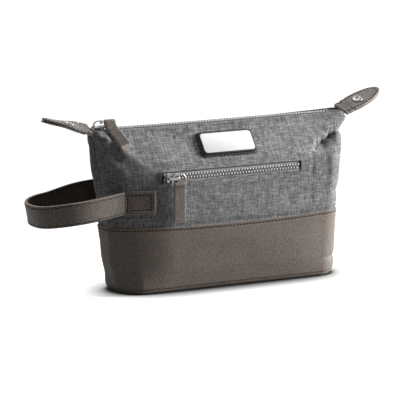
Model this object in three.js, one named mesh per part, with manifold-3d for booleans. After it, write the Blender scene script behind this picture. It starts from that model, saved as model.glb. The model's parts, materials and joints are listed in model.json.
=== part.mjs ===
// A soft toiletry bag: woven fabric over a leather base band, with a zipped mouth, a zipped
// front pocket, a leather carry loop on its left end and a leather tab on each end of the ridge.
// Millimetres, +X to the right as seen from the front, -Y to the front, +Z up.
// The origin is the centre of the flat underside.

import * as THREE from 'three';
import { mergeVertices } from 'three/addons/utils/BufferGeometryUtils.js';
import Module from 'manifold-3d';

const wasm = await Module();
wasm.setup();

// Clearances and cuts
const fit = 0.3; // between pieces that touch
const overrun = 6; // how far a cutter runs past what it cuts
const weld = 0.4; // how deep one form of a piece sinks into the next

// Plan sections of the bag, from the underside to the ridge, each a rise above the last
const baseHalfLength = 114;
const baseCorner = 22;
const bagHalfDepth = 30;
const bandHeight = 60;
const bandGrowth = 2.5; // longer at each end than at the underside
const bandCorner = 20;
const bendRise = 52.5; // the walls stand up to the bend, then lean in
const bendGrowth = 4.5;
const bendCorner = 15;
const tuckRise = 15.5; // the fabric of the ends is drawn in here
const tuckGrowth = 3;
const tuckCorner = 11;
const pinchRise = 12;
const pinchGrowth = 6;
const pinchHalfDepth = 9.5;
const pinchCorner = 6;
const ridgeRise = 7.5;
const ridgeGrowth = 2;
const ridgeHalfDepth = 6.5;
const ridgeCorner = 5;
const tightestCorner = 1;

// Sheets
const wallThickness = 1.2;
const leatherThickness = 1.4;
const liningThickness = 0.5;
const baseThickness = 1.6;
const baseRimHeight = 3.5;
const boardThickness = 2;
const flapHalfLength = 84; // the part of the mouth that opens

// Zip chain and slider, in the slider's own frame: travel along x, outwards along z
const toothPitch = 3;
const toothWidth = 1.6;
const toothThickness = 2.4;
const slitHalfWidth = 0.6; // between the two rows, for the slider's blade
const toothReach = 2.1;
const chainHalfWidth = 2.9;
const tapeThickness = 0.8;
const ridgeTapeEdge = 6.2;
const plateLength = 13;
const plateWidth = 9;
const plateCorner = 2;
const plateGap = 0.4; // between a plate and the teeth
const topPlate = 1.6;
const bottomPlate = 1.2;
const bladeLength = 2;
const bladeHalfWidth = 0.3;
const crownLength = 12.4;
const crownHeight = 6.2;
const crownThickness = 1.3;
const crownWidth = 2.2;
const crownCorner = 3;
const stopWidth = 1.2;
const stopProud = 0.4; // past the underside of the slider's top plate
const stopClearance = 0.5;

// Ring and leather pull
const wireRadius = 0.7;
const ringHalfWidth = 6.9;
const barReach = 6; // from the crown's middle to the bar
const ringHeight = 10; // from the bar to the top of the bow
const ringFillet = 0.9;
const barClearance = 0.35;
const pullLeather = 1.2;
const pullHalfThickness = 1.3;
const pullWidth = 11.6;
const pullTaper = 4.5; // from the bar to where the two layers lie together
const pullLeaveShare = 0.28; // of a half turn, where the layers leave the fold
const mainPullLength = 26.4;
const mainPullSlantShare = 0.36; // sideways for each length down the slope
const pocketPullLength = 34.9;

// Main zip
const mainSliderInset = 10; // from the ridge's left end to the closed slider
const mainFarInset = 24; // from the open slider to the ridge's right end
const mainRingOffset = 7;
const mainRingTilt = THREE.MathUtils.degToRad(15);

// Front pocket
const pocketHalfHeight = 5.5;
const pocketDrop = 2.5; // from the bend down to the opening
const pocketLeft = -76;
const pocketRight = 71;
const pocketCorner = 3;
const pocketSliderInset = 11.5; // from each end of the opening to the slider's last place
const pocketRingOffset = 4.5;
const pouchDepth = 3;
const pouchSide = 6; // past the ends of the opening
const pouchHeight = 84;
const pouchSheet = 0.6;

// Label
const labelWidth = 57.5;
const labelHeight = 24.6;
const labelCorner = 3.5;
const labelThickness = 1.6;
const labelDrop = 1; // down the slope from the pinch to its top edge
const labelPlateMargin = 2.8;
const labelPlateCorner = 2.1;
const labelPlateThickness = 1;

// Carry loop
const strapWidth = 20.5;
const strapRise = 23.75; // from the band's top edge to the strap's middle
const strapLeather = 1.4;
const strapSewnInset = 11; // from the bag's left end at the bend to where the loop leaves it
const strapSewnLength = 28;
const strapReach = 83;
const strapBow = 11;
const strapDroop = 4.5;
const strapTurnClearance = 0.6; // round the turning end, in the sewn end
const strapSteps = 28;
const strapSweepShare = 0.75;
const strapBowShare = 0.8;

// End tabs
const tabLength = 45;
const tabHalfWidth = 10;
const tabWidestShare = 0.35;
const tabBaseShare = 0.95;
const tabLeather = 1.5;
const tabSteps = 8;
const rivetAlong = 19;
const rivetCap = 4.8;
const rivetCapHeight = 1.6;
const rivetPost = 1.6;
const rivetWasher = 4;
const rivetWasherHeight = 1;
const rivetDomeShares = [[1, 0], [0.92, 0.55], [0.55, 0.92]];
const leftTab = { name: 'left_tab', side: -1, pitch: 14.5, roll: -3, turn: 174 };
const rightTab = { name: 'right_tab', side: 1, pitch: 20, roll: 18, turn: 12 };

// Facet counts
const cornerSteps = 5;
const curveSegments = 4;
const bowSteps = 8;
const wireSides = 8;
const roundSegments = 24;

// Worked out from the sizes above
const bandHalfLength = baseHalfLength + bandGrowth;
const bendHalfLength = bandHalfLength + bendGrowth;
const tuckHalfLength = bendHalfLength + tuckGrowth;
const pinchHalfLength = tuckHalfLength + pinchGrowth;
const ridgeHalfLength = pinchHalfLength + ridgeGrowth;
const strapSewnLeft = strapSewnInset - bendHalfLength;
const strapSewnRight = strapSewnLeft + strapSewnLength;
const strapFarEnd = strapSewnLeft - strapReach;
const bendHeight = bandHeight + bendRise;
const tuckHeight = bendHeight + tuckRise;
const pinchHeight = tuckHeight + pinchRise;
const ridgeHeight = pinchHeight + ridgeRise;
const profile = [
  { z: 0, halfLength: baseHalfLength, halfDepth: bagHalfDepth, corner: baseCorner },
  { z: bandHeight, halfLength: bandHalfLength, halfDepth: bagHalfDepth, corner: bandCorner },
  { z: bendHeight, halfLength: bendHalfLength, halfDepth: bagHalfDepth, corner: bendCorner },
  { z: tuckHeight, halfLength: tuckHalfLength, halfDepth: slopeDepth(tuckHeight), corner: tuckCorner },
  { z: pinchHeight, halfLength: pinchHalfLength, halfDepth: pinchHalfDepth, corner: pinchCorner },
  { z: ridgeHeight, halfLength: ridgeHalfLength, halfDepth: ridgeHalfDepth, corner: ridgeCorner },
];
const reach = ridgeHalfLength - strapFarEnd; // past every side of the bag
const slopeAngle = Math.atan2(pinchHeight - bendHeight, bagHalfDepth - pinchHalfDepth);
const slopeLength = Math.hypot(pinchHeight - bendHeight, bagHalfDepth - pinchHalfDepth);
const labelRise = slopeLength - labelDrop - labelHeight / 2;
const chainHeight = ridgeHeight + fit + tapeThickness / 2;
const liningTop = chainHeight - toothThickness / 2 - fit;
const tapeInnerEdge = chainHalfWidth + fit;
const plateInner = toothThickness / 2 + plateGap;
const plateTop = plateInner + topPlate;
const crownMiddle = plateTop + (crownHeight - crownThickness) / 2;
const seam = fit / 2;
const mainSliderRest = mainSliderInset - ridgeHalfLength;
const mainTravel = ridgeHalfLength - mainFarInset - mainSliderRest;
const pocketSliderRest = pocketLeft + pocketSliderInset;
const pocketTravel = pocketRight - pocketSliderInset - pocketSliderRest;
const endStart = flapHalfLength + fit;
const sheetInset = Math.max(wallThickness, leatherThickness);
const tubInset = sheetInset + fit + pouchDepth + fit;
const pocketHeight = bendHeight - pocketDrop - pocketHalfHeight;
const strapHeight = bandHeight + strapRise;
const strapRoot = bagHalfDepth + fit + strapLeather + seam;
const tabRoot = tabLeather + seam; // radius of the rolled root of a tab
const tinyStep = wireRadius / roundSegments; // points closer than this are one point

const bag = new THREE.Group();

function slopeDepth(z) {
  return THREE.MathUtils.mapLinear(z, bendHeight, pinchHeight, bagHalfDepth, pinchHalfDepth);
}

// Solids and meshes

function toSolid(geometry) {
  const bare = geometry.clone();
  bare.deleteAttribute('normal');
  bare.deleteAttribute('uv');
  const merged = mergeVertices(bare);
  return new wasm.Manifold(new wasm.Mesh({
    numProp: 3,
    vertProperties: new Float32Array(merged.attributes.position.array),
    triVerts: new Uint32Array(merged.index.array),
  }));
}

function toGeometry(solid) {
  const mesh = solid.getMesh();
  const geometry = new THREE.BufferGeometry();
  geometry.setAttribute('position', new THREE.BufferAttribute(new Float32Array(mesh.vertProperties), 3));
  geometry.setIndex(new THREE.BufferAttribute(new Uint32Array(mesh.triVerts), 1));
  geometry.computeVertexNormals();
  return geometry;
}

function add(name, solid, finish, parent = bag) {
  const mesh = new THREE.Mesh(toGeometry(solid), finish());
  mesh.name = name;
  parent.add(mesh);
  return mesh;
}

function finishOf(color, roughness, metalness) {
  return () => new THREE.MeshStandardMaterial({ color, roughness, metalness });
}

const fabric = finishOf(0x77787a, 0.95, 0);
const leather = finishOf(0x6b635c, 0.6, 0);
const lining = finishOf(0x2f3033, 0.8, 0);
const board = finishOf(0x8a7a62, 0.9, 0);
const tape = finishOf(0x6e6f71, 0.9, 0);
const metal = finishOf(0xc9c9c6, 0.3, 1);
const rim = finishOf(0x3e3f42, 0.7, 0);
const plate = finishOf(0xf4f4f2, 0.5, 0);

function slab({ x = [-reach, reach], y = [-reach, reach], z = [-reach, reach] }) {
  const geometry = new THREE.BoxGeometry(x[1] - x[0], y[1] - y[0], z[1] - z[0]);
  geometry.translate((x[0] + x[1]) / 2, (y[0] + y[1]) / 2, (z[0] + z[1]) / 2);
  return toSolid(geometry);
}

function extruded(shape, depth) {
  const geometry = new THREE.ExtrudeGeometry(shape, { depth, bevelEnabled: false, curveSegments });
  return geometry.translate(0, 0, -depth / 2);
}

function roundedRectangle(width, height, corner) {
  const x = width / 2;
  const y = height / 2;
  const quarter = Math.PI / 2;
  const shape = new THREE.Shape();
  shape.absarc(x - corner, y - corner, corner, 0, quarter);
  shape.absarc(corner - x, y - corner, corner, quarter, Math.PI);
  shape.absarc(corner - x, corner - y, corner, Math.PI, Math.PI + quarter);
  shape.absarc(x - corner, corner - y, corner, -quarter, 0);
  return shape;
}

// The bag's outer form, drawn in by an inset, between two heights

function sectionAt(z) {
  const height = THREE.MathUtils.clamp(z, 0, ridgeHeight);
  const above = Math.max(1, profile.findIndex((level) => level.z >= height));
  const low = profile[above - 1];
  const high = profile[above];
  const share = (height - low.z) / (high.z - low.z);
  return {
    halfLength: THREE.MathUtils.lerp(low.halfLength, high.halfLength, share),
    halfDepth: THREE.MathUtils.lerp(low.halfDepth, high.halfDepth, share),
    corner: THREE.MathUtils.lerp(low.corner, high.corner, share),
  };
}

function outlineAt(z, inset) {
  const { halfLength, halfDepth, corner } = sectionAt(z);
  const radius = Math.max(corner - inset, tightestCorner);
  const x = halfLength - inset - radius;
  const y = halfDepth - inset - radius;
  const points = [];
  [[x, y], [-x, y], [-x, -y], [x, -y]].forEach(([centreX, centreY], quarter) => {
    for (let step = 0; step <= cornerSteps; step += 1) {
      const angle = (quarter + step / cornerSteps) * Math.PI / 2;
      points.push([centreX + radius * Math.cos(angle), centreY + radius * Math.sin(angle), z]);
    }
  });
  return points;
}

function ringStack(rings) {
  const count = rings[0].length;
  const index = [];
  for (let ring = 0; ring + 1 < rings.length; ring += 1) {
    for (let step = 0; step < count; step += 1) {
      const here = ring * count + step;
      const next = ring * count + (step + 1) % count;
      index.push(here, next, next + count, here, next + count, here + count);
    }
  }
  const last = (rings.length - 1) * count;
  for (let step = 1; step + 1 < count; step += 1) {
    index.push(0, step + 1, step, last, last + step, last + step + 1);
  }
  const geometry = new THREE.BufferGeometry();
  geometry.setAttribute('position', new THREE.Float32BufferAttribute(rings.flat(2), 3));
  geometry.setIndex(index);
  return toSolid(geometry);
}

function bagForm(inset, low, high) {
  const between = profile.map((level) => level.z).filter((z) => z > low && z < high);
  return ringStack([low, ...between, high].map((z) => outlineAt(z, inset)));
}

function shell(outerInset, thickness, low, high) {
  const inside = bagForm(outerInset + thickness, low - overrun, high + overrun);
  return bagForm(outerInset, low, high).subtract(inside);
}

// Base and walls

function baseTray() {
  const inside = bagForm(baseThickness, baseThickness, baseRimHeight + overrun);
  return bagForm(0, 0, baseRimHeight).subtract(inside);
}

function baseBoard() {
  const low = baseThickness + fit;
  return bagForm(baseThickness + fit, low, low + boardThickness);
}

function liningTub() {
  const floor = baseThickness + fit + boardThickness + fit;
  const inside = bagForm(tubInset + liningThickness, floor + liningThickness, bendHeight + overrun);
  return bagForm(tubInset, floor, bendHeight - seam).subtract(inside);
}

function pocketWindow() {
  const width = pocketRight - pocketLeft;
  const opening = extruded(roundedRectangle(width, 2 * pocketHalfHeight, pocketCorner), 2 * overrun);
  opening.rotateX(Math.PI / 2);
  opening.translate((pocketLeft + pocketRight) / 2, -bagHalfDepth, pocketHeight);
  return toSolid(opening);
}

function buildBody() {
  const front = slab({ y: [-reach, -seam] });
  const back = slab({ y: [seam, reach] });
  const band = shell(0, leatherThickness, baseRimHeight + fit, bandHeight);
  const wall = shell(0, wallThickness, bandHeight + fit, bendHeight - seam);
  add('base_panel', baseTray(), leather);
  add('base_board', baseBoard(), board);
  add('band_front', band.intersect(front), leather);
  add('band_back', band.intersect(back), leather);
  add('front_wall', wall.intersect(front).subtract(pocketWindow()), fabric);
  add('back_wall', wall.intersect(back), fabric);
  add('lower_lining', liningTub(), lining);
}

// Upper fabric: a fixed closed part at each end, and a flap between them on each side

function buildEnds() {
  const cloth = shell(0, wallThickness, bendHeight + seam, ridgeHeight);
  const inner = shell(wallThickness + fit, liningThickness, bendHeight + seam, liningTop);
  const left = slab({ x: [-reach, -endStart] });
  const right = slab({ x: [endStart, reach] });
  add('left_end_fabric', cloth.intersect(left), fabric);
  add('right_end_fabric', cloth.intersect(right), fabric);
  add('left_end_lining', inner.intersect(left), lining);
  add('right_end_lining', inner.intersect(right), lining);
}

function buildFlap(name, side) {
  const across = side < 0 ? [-reach, 0] : [0, reach];
  const span = slab({ x: [-flapHalfLength, flapHalfLength], y: across });
  const cloth = shell(0, wallThickness, bendHeight + seam, ridgeHeight);
  const inner = shell(wallThickness + fit, liningThickness, bendHeight + seam, liningTop);
  add(`${name}_fabric`, cloth.intersect(span), fabric);
  add(`${name}_lining`, inner.intersect(span), lining);
  const zip = new THREE.Group();
  zip.position.z = chainHeight;
  bag.add(zip);
  add(`${name}_tape`, tapeStrip(-flapHalfLength, flapHalfLength, side, ridgeTapeEdge), tape, zip);
  add(`${name}_teeth`, toothRow(-flapHalfLength, flapHalfLength, side), metal, zip);
}

// Zip tapes and teeth, around y = 0 and z = 0

function tapeStrip(start, end, side, edge) {
  const y = [side * tapeInnerEdge, side * edge].sort((a, b) => a - b);
  return slab({ x: [start, end], y, z: [-tapeThickness / 2, tapeThickness / 2] });
}

function toothRow(start, end, side) {
  const count = Math.floor((end - start) / toothPitch);
  const margin = (end - start - count * toothPitch) / 2;
  const shift = side < 0 ? 0 : toothPitch - toothWidth; // the two rows' teeth alternate
  const points = [[start, chainHalfWidth], [start, toothReach]];
  for (let tooth = 0; tooth < count; tooth += 1) {
    const left = start + margin + shift + tooth * toothPitch;
    points.push([left, toothReach], [left, slitHalfWidth]);
    points.push([left + toothWidth, slitHalfWidth], [left + toothWidth, toothReach]);
  }
  points.push([end, toothReach], [end, chainHalfWidth]);
  const corners = points.map(([x, y]) => new THREE.Vector2(x, side * y));
  const distinct = corners.filter((corner, at) => at === 0 || !corner.equals(corners[at - 1]));
  return toSolid(extruded(new THREE.Shape(distinct), toothThickness));
}

// A stop crimped on the teeth, proud enough to hold the slider's top plate
function zipStop(start, end, y) {
  const high = toothThickness / 2 + plateGap + stopProud;
  return slab({ x: [start, end], y, z: [-toothThickness / 2, high] });
}

function crossBar(start, end, halfWidth, thickness) {
  return slab({ x: [start, end], y: [-halfWidth, halfWidth], z: [-thickness / 2, thickness / 2] });
}

function buildMainZipEnds() {
  const zip = new THREE.Group();
  zip.position.z = chainHeight;
  bag.add(zip);
  const leftStop = mainSliderRest - plateLength / 2 - stopClearance;
  const rightStop = mainSliderRest + mainTravel + plateLength / 2 + stopClearance;
  const tapeEnd = ridgeHalfLength - fit;
  const ends = [
    { name: 'left', outer: leftStop - stopWidth, inner: leftStop, start: leftStop, end: -endStart },
    { name: 'right', outer: rightStop + stopWidth, inner: rightStop, start: endStart, end: rightStop },
  ];
  ends.forEach(({ name, outer, inner, start, end }) => {
    const side = Math.sign(outer);
    const stop = [outer, inner - side * weld].sort((a, b) => a - b);
    const close = [outer + side * fit, side * tapeEnd].sort((a, b) => a - b);
    const run = [side * endStart, side * tapeEnd].sort((a, b) => a - b);
    const teeth = toothRow(start, end, -1).add(toothRow(start, end, 1));
    const tapes = tapeStrip(...run, -1, ridgeTapeEdge).add(tapeStrip(...run, 1, ridgeTapeEdge));
    const joining = crossBar(...close, tapeInnerEdge + weld, tapeThickness);
    const across = [-chainHalfWidth, chainHalfWidth];
    add(`${name}_end_teeth`, teeth.add(zipStop(...stop, across)), metal, zip);
    add(`${name}_end_tape`, tapes.add(joining), tape, zip);
  });
}

// Slider, ring and leather pull

function crownArch() {
  const half = crownLength / 2;
  const top = plateTop + crownHeight;
  const foot = plateTop - weld;
  const quarter = Math.PI / 2;
  const inner = half - crownThickness;
  const innerCorner = crownCorner - crownThickness;
  const shape = new THREE.Shape();
  shape.moveTo(half, foot);
  shape.absarc(half - crownCorner, top - crownCorner, crownCorner, 0, quarter);
  shape.absarc(crownCorner - half, top - crownCorner, crownCorner, quarter, Math.PI);
  shape.lineTo(-half, foot);
  shape.lineTo(-inner, foot);
  shape.absarc(innerCorner - inner, top - crownCorner, innerCorner, Math.PI, quarter, true);
  shape.absarc(inner - innerCorner, top - crownCorner, innerCorner, quarter, 0, true);
  shape.lineTo(inner, foot);
  return toSolid(extruded(shape, crownWidth).rotateX(Math.PI / 2));
}

function sliderBody() {
  const outline = roundedRectangle(plateLength, plateWidth, plateCorner);
  const top = toSolid(extruded(outline, topPlate).translate(0, 0, plateInner + topPlate / 2));
  const bottom = toSolid(extruded(outline, bottomPlate).translate(0, 0, -plateInner - bottomPlate / 2));
  const blade = slab({
    x: [-plateLength / 2, bladeLength - plateLength / 2],
    y: [-bladeHalfWidth, bladeHalfWidth],
    z: [-plateInner - weld, plateInner + weld],
  });
  return top.add(bottom).add(blade).add(crownArch());
}

function ringPath() {
  const half = ringHalfWidth;
  const path = new THREE.Path();
  path.absarc(0, ringHeight - barReach - half, half, 0, Math.PI);
  path.absarc(ringFillet - half, ringFillet - barReach, ringFillet, Math.PI, Math.PI * 3 / 2);
  path.absarc(half - ringFillet, ringFillet - barReach, ringFillet, Math.PI * 3 / 2, Math.PI * 2);
  path.closePath();
  const points = path.getPoints(bowSteps);
  return points.filter((point, at) => point.distanceTo(points[(at + 1) % points.length]) > tinyStep);
}

// A wire bent to a closed flat loop
function wireRing() {
  const points = ringPath();
  const count = points.length;
  const positions = [];
  const index = [];
  points.forEach((point, at) => {
    const before = points[(at + count - 1) % count];
    const after = points[(at + 1) % count];
    const along = after.clone().sub(before).normalize();
    for (let side = 0; side < wireSides; side += 1) {
      const angle = side / wireSides * Math.PI * 2;
      const out = wireRadius * Math.cos(angle);
      positions.push(point.x + out * along.y, point.y - out * along.x, wireRadius * Math.sin(angle));
      const next = (side + 1) % wireSides;
      const ahead = (at + 1) % count * wireSides;
      const here = at * wireSides;
      index.push(here + side, ahead + side, ahead + next, here + side, ahead + next, here + next);
    }
  });
  const geometry = new THREE.BufferGeometry();
  geometry.setAttribute('position', new THREE.Float32BufferAttribute(positions, 3));
  geometry.setIndex(index);
  return toSolid(geometry);
}

// A leather strip folded over the ring's bar, hanging along -y
function leatherPull(length, slantShare) {
  const hole = wireRadius + barClearance;
  const fold = hole + pullLeather;
  const leave = Math.PI * pullLeaveShare;
  const shape = new THREE.Shape();
  shape.moveTo(length, -pullHalfThickness);
  shape.lineTo(length, pullHalfThickness);
  shape.lineTo(pullTaper, pullHalfThickness);
  shape.absarc(0, 0, fold, leave, Math.PI * 2 - leave);
  shape.lineTo(pullTaper, -pullHalfThickness);
  const opening = new THREE.Path();
  opening.absarc(0, 0, hole, 0, Math.PI * 2);
  shape.holes.push(opening);
  const geometry = extruded(shape, pullWidth).rotateY(Math.PI / 2).rotateX(-Math.PI / 2);
  const place = geometry.attributes.position;
  for (let at = 0; at < place.count; at += 1) {
    const below = Math.max(0, -place.getY(at) - pullTaper);
    place.setX(at, place.getX(at) + slantShare * below);
  }
  return toSolid(geometry);
}

function buildZipPull({ name, frame, ringOffset, ringTilt, pullTurn, length, slantShare }) {
  add(`${name}_slider_body`, sliderBody(), metal, frame);
  const ring = new THREE.Group();
  ring.position.set(ringOffset, 0, crownMiddle);
  ring.rotation.x = -ringTilt;
  frame.add(ring);
  add(`${name}_ring_wire`, wireRing(), metal, ring);
  const pull = new THREE.Group();
  pull.position.y = -barReach;
  pull.rotation.x = ringTilt + pullTurn;
  ring.add(pull);
  add(`${name}_pull_leather`, leatherPull(length, slantShare), leather, pull);
}

function buildMainPull() {
  const frame = new THREE.Group();
  frame.position.set(mainSliderRest, 0, chainHeight);
  bag.add(frame);
  buildZipPull({
    name: 'main',
    frame,
    ringOffset: mainRingOffset,
    ringTilt: mainRingTilt,
    pullTurn: slopeAngle,
    length: mainPullLength,
    slantShare: mainPullSlantShare,
  });
}

// Front pocket

function pocketPouch() {
  const front = sheetInset + fit - bagHalfDepth;
  const back = front + pouchDepth;
  const top = bendHeight - seam - fit;
  const low = top - pouchHeight;
  const x = [pocketLeft - pouchSide, pocketRight + pouchSide];
  const lip = pocketHeight - pocketHalfHeight - fit;
  const outside = slab({ x, y: [front, back], z: [low, top] });
  const between = [x[0] + pouchSheet, x[1] - pouchSheet];
  const pocket = slab({
    x: between,
    y: [front + pouchSheet, back - pouchSheet],
    z: [low + pouchSheet, top + overrun],
  });
  const mouth = slab({ x: between, y: [front - overrun, back - pouchSheet], z: [lip, top + overrun] });
  return outside.subtract(pocket).subtract(mouth);
}

function buildPocket() {
  const frame = new THREE.Group();
  frame.position.set(0, wallThickness / 2 - bagHalfDepth, pocketHeight);
  frame.rotation.x = Math.PI / 2;
  bag.add(frame);
  const start = pocketLeft + fit;
  const end = pocketRight - fit;
  const edge = pocketHalfHeight - fit;
  const leftStop = pocketSliderRest - plateLength / 2 - stopClearance;
  const rightStop = pocketSliderRest + pocketTravel + plateLength / 2 + stopClearance;
  const window = extruded(roundedRectangle(end - start, 2 * edge, pocketCorner), tapeThickness);
  const corners = toSolid(window.translate((start + end) / 2, 0, 0));
  [['upper', 1], ['lower', -1]].forEach(([name, side]) => {
    const row = [side * slitHalfWidth, side * chainHalfWidth].sort((a, b) => a - b);
    const first = zipStop(leftStop - stopWidth, leftStop, row);
    const last = zipStop(rightStop, rightStop + stopWidth, row);
    add(`pocket_tape_${name}`, tapeStrip(start, end, side, edge).intersect(corners), tape, frame);
    add(`pocket_teeth_${name}`, toothRow(start, end, side).add(first).add(last), metal, frame);
  });
  add('pocket_pouch', pocketPouch(), lining);
  const slider = new THREE.Group();
  slider.position.x = pocketSliderRest;
  frame.add(slider);
  buildZipPull({
    name: 'pocket',
    frame: slider,
    ringOffset: pocketRingOffset,
    ringTilt: 0,
    pullTurn: 0,
    length: pocketPullLength,
    slantShare: 0,
  });
}

// Label on the front flap: a stitched rim with a plain plate on it

function buildLabel() {
  const slope = new THREE.Group();
  slope.position.set(0, -bagHalfDepth, bendHeight);
  slope.rotation.x = slopeAngle;
  bag.add(slope);
  const patch = extruded(roundedRectangle(labelWidth, labelHeight, labelCorner), labelThickness);
  patch.translate(0, labelRise, fit + labelThickness / 2);
  add('label_patch', toSolid(patch), rim, slope);
  const plateWide = labelWidth - 2 * labelPlateMargin;
  const plateHigh = labelHeight - 2 * labelPlateMargin;
  const face = extruded(roundedRectangle(plateWide, plateHigh, labelPlateCorner), labelPlateThickness);
  face.translate(0, labelRise, fit + labelThickness + fit + labelPlateThickness / 2);
  add('label_plate', toSolid(face), plate, slope);
}

// Carry loop: two leather layers that leave the sewn ends and bow round the left end

function strapPoint(share) {
  const angle = share * Math.PI;
  const x = strapSewnLeft + (strapFarEnd - strapSewnLeft) * Math.sin(angle) ** strapSweepShare;
  const cosine = -Math.cos(angle);
  const wide = strapRoot + strapBow * Math.sin(angle);
  return new THREE.Vector2(x, Math.sign(cosine) * Math.abs(cosine) ** strapBowShare * wide);
}

function strapSide(offset) {
  const points = [];
  for (let step = 0; step <= strapSteps; step += 1) {
    const share = step / strapSteps;
    const here = strapPoint(share);
    const before = strapPoint(Math.max(share - 1 / strapSteps, 0));
    const after = strapPoint(Math.min(share + 1 / strapSteps, 1));
    const along = after.sub(before).normalize();
    const sewn = step === 0 || step === strapSteps;
    const out = sewn ? new THREE.Vector2(0, Math.sign(here.y)) : new THREE.Vector2(-along.y, along.x);
    points.push(here.addScaledVector(out, offset));
  }
  return points;
}

function strapPivot() {
  const radius = strapWidth / 2 + fit;
  return { radius, x: strapSewnLeft - seam - radius };
}

function strapRoller(radius) {
  const roller = new THREE.CylinderGeometry(radius, radius, 2 * reach, roundSegments);
  roller.translate(strapPivot().x, 0, strapHeight);
  return toSolid(roller);
}

function strapLayer(inner, outer) {
  const outline = [...strapSide(inner), ...strapSide(outer).reverse()];
  const droopShare = strapDroop / (strapSewnLeft - strapFarEnd);
  const band = extruded(new THREE.Shape(outline), strapWidth).translate(-strapSewnLeft, 0, 0);
  band.applyMatrix4(new THREE.Matrix4().makeShear(0, droopShare, 0, 0, 0, 0));
  band.translate(strapSewnLeft, 0, strapHeight);
  const { radius, x } = strapPivot();
  const square = slab({ x: [x, reach] }).subtract(strapRoller(radius));
  return toSolid(band).subtract(square);
}

function strapEnd(side) {
  const near = bagHalfDepth + fit;
  const y = [side * near, side * (near + 2 * strapLeather + fit)].sort((a, b) => a - b);
  const half = strapWidth / 2;
  const { radius, x } = strapPivot();
  const end = slab({ x: [x, strapSewnRight], y, z: [strapHeight - half, strapHeight + half] });
  return end.subtract(strapRoller(radius + strapTurnClearance));
}

function buildStrap() {
  add('strap_end_front', strapEnd(-1), leather);
  add('strap_end_back', strapEnd(1), leather);
  add('strap_outer', strapLayer(seam, seam + strapLeather), leather);
  add('strap_inner', strapLayer(-seam - strapLeather, -seam), leather);
}

// End tabs: two leather layers from a rolled root, closed by a rivet

function tabOutline(start) {
  const side = [];
  for (let step = 0; step <= tabSteps; step += 1) {
    const angle = step / tabSteps * Math.PI / 2;
    const x = tabLength * (tabWidestShare + (1 - tabWidestShare) * Math.sin(angle));
    side.push(new THREE.Vector2(x, tabHalfWidth * Math.cos(angle)));
  }
  const far = side.slice(0, -1).reverse().map((point) => new THREE.Vector2(point.x, -point.y));
  const base = tabHalfWidth * tabBaseShare;
  return new THREE.Shape([new THREE.Vector2(start, -base), new THREE.Vector2(start, base), ...side, ...far]);
}

function rivetHole() {
  const hole = new THREE.CylinderGeometry(rivetPost + fit, rivetPost + fit, 2 * overrun, roundSegments / 2);
  return toSolid(hole.rotateX(Math.PI / 2).translate(rivetAlong, 0, 0));
}

function rivet() {
  const face = seam + tabLeather + fit;
  const dome = rivetDomeShares.map(([out, up]) => [rivetCap * out, face + rivetCapHeight * up]);
  const profilePoints = [
    [0, -face - rivetWasherHeight],
    [rivetWasher, -face - rivetWasherHeight],
    [rivetWasher, -face],
    [rivetPost, -face],
    [rivetPost, face],
    ...dome,
    [0, face + rivetCapHeight],
  ].map(([out, up]) => new THREE.Vector2(out, up));
  const geometry = new THREE.LatheGeometry(profilePoints, roundSegments / 2);
  return toSolid(geometry.rotateX(Math.PI / 2).translate(rivetAlong, 0, 0));
}

function buildTab({ name, side, pitch, roll, turn }) {
  const tab = new THREE.Group();
  tab.position.set(side * (ridgeHalfLength + fit + tabRoot), 0, chainHeight);
  tab.rotation.set(
    THREE.MathUtils.degToRad(roll),
    THREE.MathUtils.degToRad(-pitch),
    THREE.MathUtils.degToRad(turn),
    'ZXY',
  );
  bag.add(tab);
  const middle = seam + tabLeather / 2;
  const rootLength = 2 * tabHalfWidth * tabBaseShare;
  const root = new THREE.CylinderGeometry(tabRoot, tabRoot, rootLength, roundSegments / 2);
  const upper = toSolid(extruded(tabOutline(0), tabLeather).translate(0, 0, middle)).add(toSolid(root));
  const lower = toSolid(extruded(tabOutline(tabRoot + fit), tabLeather).translate(0, 0, -middle));
  add(`${name}_upper`, upper.subtract(rivetHole()), leather, tab);
  add(`${name}_lower`, lower.subtract(rivetHole()), leather, tab);
  add(`${name}_rivet`, rivet(), metal, tab);
}

buildBody();
buildEnds();
buildFlap('front_flap', -1);
buildFlap('back_flap', 1);
buildMainZipEnds();
buildMainPull();
buildPocket();
buildLabel();
buildStrap();
buildTab(leftTab);
buildTab(rightTab);

export default bag;
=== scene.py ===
"""A soft toiletry bag: melange cloth over a leather base band, a zipped mouth, a zipped front
pocket, a blank label, a carry loop and two end tabs. Metres, +X right, -Y front, +Z up."""

import json
import math

import bmesh
import bpy
import numpy as np
from mathutils import Matrix, Vector, noise

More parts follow.
